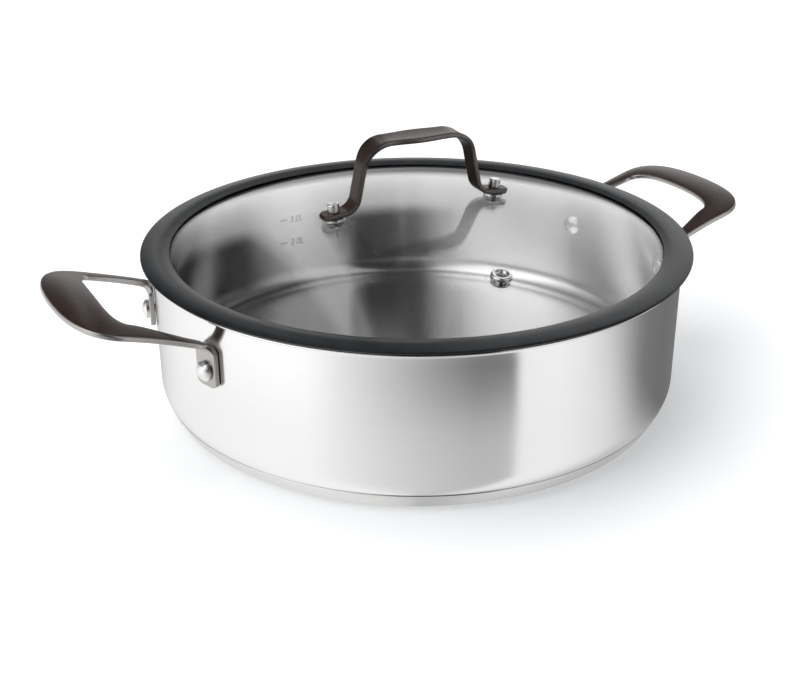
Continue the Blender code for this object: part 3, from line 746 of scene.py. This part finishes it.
def pan_profile():
    fillet_centre = (PAN_RADIUS - FLOOR_FILLET, FLOOR_HEIGHT + FLOOR_FILLET)
    lip_centre = (WALL_RADIUS + LIP_BEND, RIM_HEIGHT - WALL - LIP_BEND)
    edge_centre = (lip_centre[0] + LIP_FLAT, RIM_HEIGHT - WALL / 2)
    corner_r = WALL_RADIUS - CORNER_RADIUS
    corner_drop = sqrt(CORNER_RADIUS**2 - (BASE_RADIUS - corner_r) ** 2)
    corner_centre = (corner_r, BASE_HEIGHT + corner_drop)
    floor_rings = [(fillet_centre[0] * i / WALL_ROWS, FLOOR_HEIGHT) for i in range(WALL_ROWS)]
    points = floor_rings + arc(fillet_centre, FLOOR_FILLET, -pi / 2, 0.0, 2 * ARC_STEPS)
    rise = lip_centre[1] - fillet_centre[1]
    points += [(PAN_RADIUS, fillet_centre[1] + rise * i / WALL_ROWS) for i in range(1, WALL_ROWS)]
    points += arc(lip_centre, LIP_BEND + WALL, pi, pi / 2)
    points += arc(edge_centre, WALL / 2, pi / 2, -pi / 2)[1:]
    points += arc(lip_centre, LIP_BEND, pi / 2, pi)
    drop = lip_centre[1] - corner_centre[1]
    points += [(WALL_RADIUS, lip_centre[1] - drop * i / WALL_ROWS) for i in range(1, WALL_ROWS)]
    points += arc(corner_centre, CORNER_RADIUS, 0.0, -asin(corner_drop / CORNER_RADIUS), 2 * ARC_STEPS)
    points.append((0.0, BASE_HEIGHT))
    return points


def cap_profile():
    """The base's steel cap, with rounded edges at its rim and foot."""
    top = BASE_HEIGHT - GAP
    slope = BASE_DRAFT / top
    lean = atan(slope)
    foot = BASE_RADIUS - BASE_DRAFT
    centre = (foot - CAP_ROUND * (1 - sin(lean)) / cos(lean), CAP_ROUND)
    inner_foot = foot - CAP_SHEET + slope * CAP_SHEET
    inner = [(0.0, CAP_SHEET), (inner_foot, CAP_SHEET), (BASE_RADIUS - CAP_SHEET, top)]
    brow = arc((BASE_RADIUS - CAP_SHEET / 2, top - CAP_SHEET / 2), CAP_SHEET / 2, pi / 2, -lean, EDGE_STEPS)
    return inner + brow + arc(centre, CAP_ROUND, -lean, -pi / 2, ROUND_STEPS) + [(0.0, 0.0)]


def rivet_frame(angle):
    turn = Matrix.Rotation(angle, 4, "Z") @ Matrix.Rotation(pi / 2, 4, "Y")
    return Matrix.Translation((0.0, 0.0, RIVET_HEIGHT)) @ turn


def crown(base, radius, height, up):
    """Outline of a crowned head from its rim to the axis, above its base for up 1 and below it for -1."""
    sphere = (radius**2 + height**2) / (2 * height)
    centre = (0.0, base + up * (height - sphere))
    rim_angle = up * asin((sphere - height) / sphere)
    rise = arc(centre, sphere, rim_angle, up * pi / 2)
    rise[-1] = (0.0, rise[-1][1])
    return rise


def rivet_profile():
    head = TAB_FACE + GAP
    tail = PAN_RADIUS - 2 * GAP
    outside = list(reversed(crown(head + RIVET_RIM, RIVET_HEAD, RIVET_CROWN, 1)))
    inside = crown(tail - RIVET_TAIL_RIM, RIVET_TAIL, RIVET_TAIL_CROWN, -1)
    shank = [(RIVET_HEAD, head), (RIVET_SHANK, head), (RIVET_SHANK, tail), (RIVET_TAIL, tail)]
    return outside + shank + inside


def handle_height(x, start):
    length = WALL_RADIUS + HANDLE_REACH - start
    along = x - start
    bend = (tan(TIP_SLOPE) - tan(LEG_SLOPE)) / (2 * length)
    return LEG_HEIGHT + tan(LEG_SLOPE) * along + bend * along**2


def handle_sections():
    """Sections of half a side handle: up the tab, round its bend, along the leg, to the grip's middle."""
    out = Vector((cos(TAB_ANGLE), sin(TAB_ANGLE), 0.0))
    side = Vector((-sin(TAB_ANGLE), cos(TAB_ANGLE), 0.0))
    up = Vector((0.0, 0.0, 1.0))
    turn = pi / 2 - LEG_SLOPE
    bend_low = LEG_HEIGHT - TAB_BEND * sin(turn)
    sections = []

    def add(outer, inner, normal, rise, thickness=STRAP, edge=STRAP_EDGE):
        def sag(f):
            return -rise * (f + GRIP_BULGE * 4.0 * f * (1.0 - f))

        sections.append(strap_section(outer, inner, normal, thickness, edge, sag))

    for step in range(STRAP_ROUND_STEPS):
        angle = step / STRAP_ROUND_STEPS * pi / 2
        inset = STRAP_EDGE * (1 - sin(angle))
        centre = out * TAB_MIDDLE + up * (TAB_BOTTOM + STRAP_EDGE * (1 - cos(angle)))
        width = TAB_WIDTH - 2 * TAB_CORNER - 2 * inset
        edge = STRAP_EDGE * (TAB_END_EDGE + (1 - TAB_END_EDGE) * sin(angle))
        add(centre + side * width / 2, centre - side * width / 2, -out, 0.0, STRAP - 2 * inset, edge)
    for step in range(1, ARC_STEPS + 1):
        angle = step / ARC_STEPS * pi / 2
        rise = STRAP_EDGE + (TAB_CORNER - STRAP_EDGE) * (1 - cos(angle))
        centre = out * TAB_MIDDLE + up * (TAB_BOTTOM + rise)
        width = TAB_WIDTH - 2 * TAB_CORNER * (1 - sin(angle))
        add(centre + side * width / 2, centre - side * width / 2, -out, 0.0)
    for step in range(CORNER_STEPS + 1):
        angle = turn * step / CORNER_STEPS
        width = TAB_WIDTH + (LEG_WIDTH - TAB_WIDTH) * smooth_step(step / CORNER_STEPS)
        centre = out * (TAB_MIDDLE + TAB_BEND * (1 - cos(angle))) + up * (bend_low + TAB_BEND * sin(angle))
        add(centre + side * width / 2, centre - side * width / 2, up * sin(angle) - out * cos(angle), 0.0)

    root = out * (TAB_MIDDLE + TAB_BEND * (1 - cos(turn)))
    outer_root = (root + side * LEG_WIDTH / 2).to_2d()
    inner_root = (root - side * LEG_WIDTH / 2).to_2d()
    lead = out.to_2d()
    heading = Vector((1.0, HANDLE_SPREAD))
    reach = WALL_RADIUS + HANDLE_REACH
    hole_end = reach - GRIP_DEPTH
    shoulder = Vector((reach - HANDLE_CORNER, HANDLE_HALF_WIDTH))
    notch = Vector((hole_end - HOLE_CORNER, HOLE_HALF_WIDTH))
    outer_pull = heading * HANDLE_FULLNESS * HANDLE_CORNER
    inner_pull = heading * HOLE_FULLNESS * HOLE_CORNER
    outer_leg = (outer_root, outer_root + lead * LEG_LEAD, shoulder - heading * HANDLE_LEAD, shoulder)
    inner_leg = (inner_root, inner_root + lead * LEG_INNER_LEAD, notch - heading * HOLE_LEAD, notch)
    outer_turn = (shoulder, shoulder + outer_pull, (reach, HANDLE_END * shoulder.y), (reach, 0.0))
    inner_turn = (notch, notch + inner_pull, (hole_end, HOLE_END * notch.y), (hole_end, 0.0))

    def height_point(point):
        return Vector((point.x, point.y, handle_height(point.x, root.x)))

    def sheet_normal(x):
        rise = handle_height(x + MM, root.x) - handle_height(x, root.x)
        return Vector((-rise, 0.0, MM)).normalized()

    for curve_pair, steps, rise_from, rise_to in (
        ((outer_leg, inner_leg), LEG_STEPS, 0.0, LEG_RISE),
        ((outer_turn, inner_turn), GRIP_STEPS, LEG_RISE, GRIP_RISE),
    ):
        for step in range(1, steps + 1):
            t = step / steps
            outer = bezier(curve_pair[0], t)
            inner = bezier(curve_pair[1], t)
            rise = rise_from + (rise_to - rise_from) * smooth_step(t)
            normal = sheet_normal((outer.x + inner.x) / 2)
            add(height_point(outer), height_point(inner), normal, rise)
    return sections


def rounded_path(corners, radii, steps):
    """A flat path through corner points, each inner corner rounded to its radius, with its directions."""
    path = [(corners[0], (corners[1] - corners[0]).normalized())]
    for index in range(1, len(corners) - 1):
        before = (corners[index] - corners[index - 1]).normalized()
        after = (corners[index + 1] - corners[index]).normalized()
        angle = before.angle_signed(after)
        length = radii[index - 1] * tan(abs(angle) / 2)
        start = corners[index] - before * length
        bent = -1.0 if angle > 0 else 1.0
        centre = start + Vector((-before.y, before.x)) * radii[index - 1] * bent
        for step in range(steps + 1):
            turned_by = Matrix.Rotation(-angle * step / steps, 2)
            path.append((centre + turned_by @ (start - centre), turned_by @ before))
    path.append((corners[-1], (corners[-1] - corners[-2]).normalized()))
    return path


def lid_handle_sections():
    """Sections of half the lid's handle, from the end of one foot up its leg to the middle of the bar."""
    foot = Vector((STUD_OFFSET, dome_height(STUD_OFFSET)))
    foot_normal = (foot - Vector((0.0, DOME_APEX - DOME_RADIUS))).normalized()
    foot_along = Vector((foot_normal.y, -foot_normal.x))
    foot_middle = foot + foot_normal * (STACK_FOOT + LID_STRAP / 2)
    bar_height = BAR_TOP - LID_STRAP / 2
    bar_corner = Vector((BAR_HALF_LENGTH, bar_height))
    leg = Vector((sin(LID_LEG_SPLAY), -cos(LID_LEG_SPLAY)))
    offset = foot_middle - bar_corner
    reach = offset.cross(foot_along) / leg.cross(foot_along)
    foot_corner = bar_corner + leg * reach
    foot_end = foot_middle + foot_along * FOOT_END
    corners = [foot_end, foot_corner, bar_corner, Vector((0.0, bar_height))]
    path = rounded_path(corners, [FOOT_BEND, BAR_CORNER], CORNER_STEPS)
    end_point, end_heading = path[0]
    foot_steps = [LID_STRAP_EDGE * 0.5, LID_STRAP_EDGE, FOOT_CHAMFER / 2, FOOT_CHAMFER, 2 * FOOT_CHAMFER]
    for place, distance in enumerate(foot_steps):
        path.insert(1 + place, (end_point + end_heading * distance, end_heading))
    bend_start = len(foot_steps) + 1
    leg_low = path[bend_start + CORNER_STEPS][0]
    leg_top = path[bend_start + CORNER_STEPS + 1][0]
    leg_heading = path[bend_start + CORNER_STEPS + 1][1]
    for step in range(1, LEG_STEPS):
        share = step / LEG_STEPS
        path.insert(bend_start + CORNER_STEPS + step, (leg_low.lerp(leg_top, share), leg_heading))
    bar_start = path[-2][0]
    bar_middle, bar_heading = path[-1]
    for step in range(1, LEG_STEPS):
        path.insert(-1, (bar_start.lerp(bar_middle, step / LEG_STEPS), bar_heading))
    sections = []
    for index, (point, heading) in enumerate(path):
        up_leg = smooth_step((point.y - foot_middle.y) / (leg_low.y - foot_middle.y))
        into_bar = smooth_step((point.y - leg_top.y) / (bar_height - leg_top.y))
        along_bar = smooth_step(1.0 - point.x / bar_start.x)
        width = FOOT_WIDTH + (LID_LEG_WIDTH - FOOT_WIDTH) * up_leg
        width += (BAR_WIDTH - LID_LEG_WIDTH) * (BAR_FLARE * into_bar + (1.0 - BAR_FLARE) * along_bar)
        from_end = (point - end_point).length
        width -= 2 * max(0.0, FOOT_CHAMFER - from_end)
        thickness = LID_STRAP - 2 * max(0.0, (LID_STRAP_EDGE - from_end) * FOOT_END_TAPER)
        edge = min(LID_STRAP_EDGE, thickness / 3)
        normal = Vector((heading.y, 0.0, -heading.x))
        middle = Vector((point.x, 0.0, point.y))
        across = Vector((0.0, width / 2, 0.0))

        def sag(f, hollow=BAR_HOLLOW * into_bar):
            return -hollow * (2 * f - 1) ** 2

        sections.append(strap_section(middle + across, middle - across, normal, thickness, edge, sag))
    return sections


def glass_profile():
    upper = [GLASS_RADIUS * step / GLASS_RINGS for step in range(GLASS_RINGS + 1)]
    points = [(r, dome_height(r)) for r in upper]
    return points + [(r, dome_height(r, GLASS)) for r in reversed(upper)]


def smooth_through(points, steps):
    """A Catmull-Rom curve through the points of an open outline."""
    ends = [points[0]] + points + [points[-1]]
    curve = []
    for index in range(1, len(ends) - 2):
        p0, p1, p2, p3 = (Vector(p) for p in ends[index - 1 : index + 3])
        for step in range(steps):
            t = step / steps
            place = 2 * p1 + (p2 - p0) * t + (2 * p0 - 5 * p1 + 4 * p2 - p3) * t * t
            place += (3 * p1 - p0 - 3 * p2 + p3) * t**3
            curve.append(tuple(place / 2))
    curve.append(points[-1])
    return curve


def rim_profile():
    groove = GLASS_RADIUS + GAP
    top = RIM_BOTTOM + RIM_CROWN
    lap_top = dome_height(COVER_RADIUS) + GAP + RIM_LAP
    skirt_bottom = RIM_BOTTOM - SKIRT_DEPTH
    crown_radius = (COVER_RADIUS + RIM_RADIUS) / 2
    edge_top = RIM_BOTTOM + RIM_SIDE
    lap_centre = (COVER_RADIUS + RIM_LAP_EASE, lap_top - RIM_LAP_EASE)
    lap_edge = arc(lap_centre, RIM_LAP_EASE, pi, pi / 2, EDGE_STEPS)
    swell = [
        lap_edge[-1],
        ((COVER_RADIUS + crown_radius) / 2, (lap_top + 3 * top) / 4),
        (crown_radius, top),
        ((crown_radius + RIM_RADIUS) / 2, (3 * top + edge_top) / 4),
        (RIM_RADIUS - RIM_EDGE_EASE, edge_top + RIM_EDGE_EASE / 2),
        (RIM_RADIUS - RIM_EDGE_TUCK * RIM_EDGE_EASE, edge_top),
        (RIM_RADIUS, edge_top - RIM_EDGE_EASE / 2),
    ]
    underside = [(RIM_RADIUS - RIM_UNDERCUT, RIM_BOTTOM), (SKIRT_RADIUS, RIM_BOTTOM)]
    outer_toe = (SKIRT_RADIUS - SKIRT_CHAMFER, skirt_bottom + SKIRT_CHAMFER)
    inner_toe = (COVER_RADIUS + SKIRT_CHAMFER, skirt_bottom + SKIRT_CHAMFER)
    skirt = arc(outer_toe, SKIRT_CHAMFER, 0.0, -pi / 2, EDGE_STEPS)
    skirt += arc(inner_toe, SKIRT_CHAMFER, -pi / 2, -pi, EDGE_STEPS)
    slot = [
        (COVER_RADIUS, dome_height(COVER_RADIUS, GLASS) - GAP),
        (groove, dome_height(groove, GLASS) - GAP),
        (groove, dome_height(groove) + GAP),
        (COVER_RADIUS, dome_height(COVER_RADIUS) + GAP),
    ]
    return lap_edge[:-1] + smooth_through(swell, EDGE_STEPS) + underside + skirt + slot


def ring_profile(outer, bore, low, sheet):
    high = low + sheet
    ease = sheet * RING_EASE
    upper = arc((outer - ease, high - ease), ease, pi / 2, 0.0, RING_EDGE_STEPS)
    lower = arc((outer - ease, low + ease), ease, 0.0, -pi / 2, RING_EDGE_STEPS)
    return [(bore, high)] + upper + lower + [(bore, low)]


def washer_profile():
    """Cup washer: it stands on the glass by its rim, with the gasket inside."""
    top = GAP + WASHER_HEIGHT
    bore = SCREW + BORE_PLAY
    recess = GASKET + GAP
    brow = arc((WASHER - WASHER_EASE, top - WASHER_EASE), WASHER_EASE, pi / 2, 0.0, EDGE_STEPS)
    return [(bore, top)] + brow + [(WASHER, GAP), (recess, GAP), (recess, STACK_ROOF), (bore, STACK_ROOF)]


def nut_profile():
    low = STACK_NUT
    high = low + NUT_HEIGHT
    bore = SCREW + BORE_PLAY
    brow = arc((NUT - NUT_CHAMFER, high - NUT_CHAMFER), NUT_CHAMFER, pi / 2, 0.0, ROUND_STEPS)
    return [(0.0, high)] + brow + [(NUT, low), (bore, low), (bore, high - NUT_ROOF), (0.0, high - NUT_ROOF)]


def screw_profile():
    tip = STACK_NUT + NUT_HEIGHT - NUT_ROOF - GAP
    head = crown(STACK_HEAD - SCREW_RIM, SCREW_HEAD, SCREW_HEAD_HEIGHT - SCREW_RIM, -1)
    return [(0.0, tip), (SCREW, tip), (SCREW, STACK_HEAD), (SCREW_HEAD, STACK_HEAD)] + head


def vent_profile():
    top = GAP + VENT_FLANGE_HEIGHT
    roll = -GLASS - GAP - VENT_COLLAR_SHEET - GAP
    brow_centre = (VENT_FLANGE - VENT_FLANGE_EASE, top - VENT_FLANGE_EASE)
    brow = arc(brow_centre, VENT_FLANGE_EASE, pi / 2, 0.0, ROUND_STEPS)
    tube = [(VENT_FLANGE, GAP), (VENT_TUBE, GAP), (VENT_TUBE, roll)]
    curl_centre = (VENT_TUBE + VENT_ROLL_REACH / 2, roll)
    curl = arc(curl_centre, VENT_ROLL_REACH / 2, 0.0, -pi, ROUND_STEPS)
    tail = [(VENT_TUBE, roll - VENT_ROLL), (VENT_BORE, roll - VENT_ROLL / 2)]
    flare = VENT_FUNNEL - VENT_BORE
    funnel = [(VENT_BORE + flare * out, top - VENT_FUNNEL_DEPTH * down) for out, down in VENT_FUNNEL_CURVE]
    funnel += [(VENT_FUNNEL - VENT_FUNNEL_EASE, top - VENT_FUNNEL_EASE_DEPTH), (VENT_FUNNEL, top)]
    return brow + tube + curl[:-1] + tail + funnel


def lay_on_wall(mesh, name, angle, height, material):
    """Lay a flat mesh on the pan's inner wall, from an angle on, to be read by someone who looks in."""
    for vertex in mesh.vertices:
        along, up, relief = vertex.co
        turn = angle - along / PAN_RADIUS
        radius = PAN_RADIUS - 2 * MARK_RELIEF - relief
        vertex.co = (radius * cos(turn), radius * sin(turn), height + up)
    add_piece(mesh, name, material, "pan")


def mark_line():
    form = bmesh.new()
    bmesh.ops.create_cube(form, size=1.0)
    for vertex in form.verts:
        x, y, z = vertex.co
        vertex.co = ((x + 0.5) * MARK_TICK, y * MARK_LINE, z * 2 * MARK_RELIEF)
    mesh = bpy.data.meshes.new("line")
    form.to_mesh(mesh)
    form.free()
    return mesh


def mark_number(litres):
    words = bpy.data.curves.new("words", "FONT")
    words.body = f"{litres:.1f}L"
    words.size = MARK_TEXT * MARK_TYPE_SIZE
    words.extrude = MARK_RELIEF
    words.space_character = MARK_SPACING
    words.shear = MARK_SLANT
    holder = bpy.data.objects.new("words", words)
    bpy.context.scene.collection.objects.link(holder)
    graph = bpy.context.evaluated_depsgraph_get()
    mesh = bpy.data.meshes.new_from_object(holder.evaluated_get(graph))
    bpy.data.objects.remove(holder, do_unlink=True)
    mesh.transform(Matrix.Translation((0.0, -MARK_TEXT / 2, 0.0)))
    mesh.transform(Matrix.Diagonal((MARK_NARROW, 1.0, 1.0, 1.0)))
    return mesh


def build_marks(material):
    """Litre marks: a short line and a plain number each."""
    start = MARK_ANGLE - (MARK_TICK + MARK_SPACE) / PAN_RADIUS
    for place, litres in enumerate(MARK_LITRES):
        height = MARK_LOWEST + place * MARK_STEP
        lay_on_wall(mark_line(), f"mark_line_{litres:.0f}", MARK_ANGLE, height, material)
        lay_on_wall(mark_number(litres), f"mark_number_{litres:.0f}", start, height, material)


def build_pan(steel, base, polished, bronze, core):
    rivet_bore = RIVET_SHANK + BORE_PLAY
    frames = {}
    for side, turn in SIDES:
        for place, sign in (("front", -1), ("back", 1)):
            across = sign if side == "right" else -sign
            frames[side, place] = rivet_frame(turn + across * TAB_ANGLE)
    low = PAN_RADIUS - CUT_MARGIN
    high = WALL_RADIUS + CUT_MARGIN
    holes = [(rivet_bore, low, high, placement) for placement in frames.values()]
    body = drilled(turned(pan_profile(), BODY_STEPS), holes)
    refine(body, "pan_body", steel, "pan")
    refine(turned(cap_profile(), BODY_STEPS), "base_cap", base, "pan")
    for (side, place), placement in frames.items():
        rivet = turned(rivet_profile(), SMALL_STEPS, placement)
        refine(rivet, f"{side}_{place}_rivet", polished, "pan")
    low = TAB_MIDDLE - STRAP / 2 - CUT_MARGIN
    for side, turn in SIDES:
        handle = loft(both_halves(handle_sections(), 1))
        handle.transform(Matrix.Rotation(turn, 4, "Z"))
        holes = [(rivet_bore, low, high, frames[side, place]) for place in ("front", "back")]
        refine(drilled(handle, holes), side + "_handle", bronze, "pan")
    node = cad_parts["base_core"]
    node.data.materials.clear()
    node.data.materials.append(core)


def build_lid(glass, rubber, clear_rubber, polished, bronze):
    bore = SCREW + BORE_PLAY
    stacks = {"left": dome_frame(-STUD_OFFSET, 0.0), "right": dome_frame(STUD_OFFSET, 0.0)}
    vent = dome_frame(0.0, -VENT_OFFSET)
    holes = [(bore, -GLASS - CUT_MARGIN, CUT_MARGIN, placement) for placement in stacks.values()]
    holes.append((VENT_TUBE + BORE_PLAY, -GLASS - CUT_MARGIN, CUT_MARGIN, vent))
    dome = drilled(turned(glass_profile(), BODY_STEPS), holes)
    refine(dome, "lid_glass", glass, "lid")
    refine(turned(rim_profile(), BODY_STEPS), "lid_rim", rubber, "lid")
    handle = loft(both_halves(lid_handle_sections(), 0))
    handle.transform(Matrix.Rotation(LID_TURN, 4, "Z"))
    low = STACK_FOOT - CUT_MARGIN / 4
    holes = [(bore, low, STACK_NUT + CUT_MARGIN, placement) for placement in stacks.values()]
    refine(drilled(handle, holes), "lid_handle", bronze, "lid")
    gasket = ring_profile(GASKET, bore, GAP, GASKET_SHEET)
    lower_gasket = ring_profile(GASKET, bore, STACK_LOWER, GASKET_SHEET)
    rows = (
        ("lid_gasket_", gasket, clear_rubber, "clear_silicone"),
        ("lid_washer_", washer_profile(), polished, "polished_steel"),
        ("lid_lower_gasket_", lower_gasket, clear_rubber, "clear_silicone"),
        ("lid_screw_", screw_profile(), polished, "polished_steel"),
        ("lid_nut_", nut_profile(), polished, "polished_steel"),
    )
    for side, placement in stacks.items():
        for prefix, profile, material, slot in rows:
            refine(turned(profile, SMALL_STEPS, placement), prefix + side, material, "lid")
    refine(turned(vent_profile(), SMALL_STEPS, vent), "vent_eyelet", polished, "lid")
    collar_low = -GLASS - GAP - VENT_COLLAR_SHEET
    collar = ring_profile(VENT_COLLAR, VENT_TUBE + BORE_PLAY, collar_low, VENT_COLLAR_SHEET)
    refine(turned(collar, SMALL_STEPS, vent), "vent_collar", polished, "lid")


def build_world():
    """Panels round the pan by compass direction, in three rows, and a soft light overhead."""
    world = bpy.data.worlds.new("studio")
    bpy.context.scene.world = world
    world.use_nodes = True
    tree = world.node_tree
    direction = parts_of(tree, tree.nodes.new("ShaderNodeTexCoord").outputs["Generated"])
    compass = math_node(tree, "ARCTAN2", direction["Y"], direction["X"])
    turn = map_range(tree, compass, -pi, pi, 0.0, 1.0)
    rows = []
    for panels in (LOW_PANELS, HORIZON_PANELS, HIGH_PANELS):
        rows.append(ramp(tree, turn, [((angle + 180) / 360, (level,) * 3) for angle, level in panels]))
    studio = rows[0]
    steps = ((LOW_BLEND, rows[1]), (HIGH_BLEND, rows[2]), (OVERHEAD_BLEND, (OVERHEAD,) * 3))
    for blend, upper in steps:
        share = map_range(tree, direction["Z"], *blend, 0.0, 1.0, smooth=True)
        studio = mix_colour(tree, share, studio, upper)
    seen = tree.nodes.new("ShaderNodeLightPath").outputs["Is Camera Ray"]
    shown = mix_colour(tree, seen, studio, (1.0,) * 3)
    tree.links.new(shown, tree.nodes["Background"].inputs["Color"])


def floor_look():
    """White to the camera, with the pan's soft shadow. In metal it shows near the pan's front only."""
    material = bpy.data.materials.new("pale_floor")
    material.use_nodes = True
    tree = material.node_tree
    tree.nodes.clear()
    path = tree.nodes.new("ShaderNodeLightPath").outputs
    plain = tree.nodes.new("ShaderNodeBsdfDiffuse")
    plain.inputs["Color"].default_value = (FLOOR_ALBEDO, FLOOR_ALBEDO, FLOOR_ALBEDO, 1.0)
    lift = tree.nodes.new("ShaderNodeEmission")
    lift.inputs["Color"].default_value = (*FLOOR_LIFT, 1.0)
    tree.links.new(path["Is Camera Ray"], lift.inputs["Strength"])
    lit = tree.nodes.new("ShaderNodeAddShader")
    tree.links.new(plain.outputs[0], lit.inputs[0])
    tree.links.new(lift.outputs[0], lit.inputs[1])
    place = object_place(tree)
    near = map_range(tree, vector_node(tree, "LENGTH", place), *GLOW_REACH, GLOW_SHARE, 0.0, smooth=True)
    front = (cos(GLOW_AZIMUTH), sin(GLOW_AZIMUTH), 0.0)
    facing = vector_node(tree, "DOT_PRODUCT", vector_node(tree, "NORMALIZE", place), front)
    ahead = map_range(tree, facing, *GLOW_SIDES, 0.0, 1.0, smooth=True)
    through = tree.nodes.new("ShaderNodeBsdfTransparent")
    glow = tree.nodes.new("ShaderNodeEmission")
    glow.inputs["Color"].default_value = (GLOW_LEVEL, GLOW_LEVEL, GLOW_LEVEL, 1.0)
    share = math_node(tree, "MULTIPLY", near, ahead)
    mirrored = mix_shader(tree, share, through.outputs[0], glow.outputs[0])
    surface = mix_shader(tree, path["Is Glossy Ray"], lit.outputs[0], mirrored)
    output = tree.nodes.new("ShaderNodeOutputMaterial")
    tree.links.new(surface, output.inputs["Surface"])
    return material


def build_floor():
    form = bmesh.new()
    bmesh.ops.create_grid(form, x_segments=1, y_segments=1, size=FLOOR_SIZE / 2)
    mesh = bpy.data.meshes.new("floor")
    form.to_mesh(mesh)
    form.free()
    mesh.materials.append(floor_look())
    floor = bpy.data.objects.new("floor", mesh)
    bpy.context.scene.collection.objects.link(floor)


def build_key_light():
    """A broad soft light from high up at the back left, which gives the pan its shadow."""
    lamp = bpy.data.lights.new("key", "SUN")
    lamp.angle = KEY_SPREAD
    lamp.energy = KEY_POWER
    key = bpy.data.objects.new("key", lamp)
    level = cos(KEY_ELEVATION)
    direction = Vector((cos(KEY_AZIMUTH) * level, sin(KEY_AZIMUTH) * level, sin(KEY_ELEVATION)))
    key.rotation_euler = direction.to_track_quat("Z", "Y").to_euler()
    key.visible_glossy = False
    key.visible_transmission = False
    bpy.context.scene.collection.objects.link(key)


def build_camera():
    """The photograph's view, from the front left and above."""
    data = bpy.data.cameras.new("camera")
    data.sensor_width = VIEW_SENSOR
    data.lens = VIEW_LENS
    data.clip_start = VIEW_NEAR
    camera = bpy.data.objects.new("camera", data)
    heading = Matrix.Rotation(-VIEW_SIDE - VIEW_YAW, 4, "Z")
    tilt = Matrix.Rotation(pi / 2 - VIEW_PITCH, 4, "X")
    roll = Matrix.Rotation(VIEW_ROLL, 4, "Z")
    place = Matrix.Rotation(-VIEW_SIDE, 4, "Z") @ Vector((0.0, -VIEW_DISTANCE, VIEW_HEIGHT))
    camera.matrix_world = Matrix.Translation(place) @ heading @ tilt @ roll
    bpy.context.scene.collection.objects.link(camera)
    bpy.context.scene.camera = camera


wall_steel = brushed_steel("look_brushed_steel", *WALL_STEEL)
base_steel = brushed_steel("look_base_steel", *BASE_STEEL)
polish = polished_steel()
side_bronze = bronze_coating("look_bronze_side", *SIDE_BARE_AND_HIGHLIGHT)
lid_bronze = bronze_coating("look_bronze_lid", *LID_BARE_AND_HIGHLIGHT)
build_pan(wall_steel, base_steel, polish, side_bronze, core_metal())
build_lid(clear_glass(), silicone(), clear_silicone(), polish, lid_bronze)
build_marks(mark_ink())
build_world()
build_floor()
build_key_light()
build_camera()
bpy.context.scene.view_settings.view_transform = "Standard"
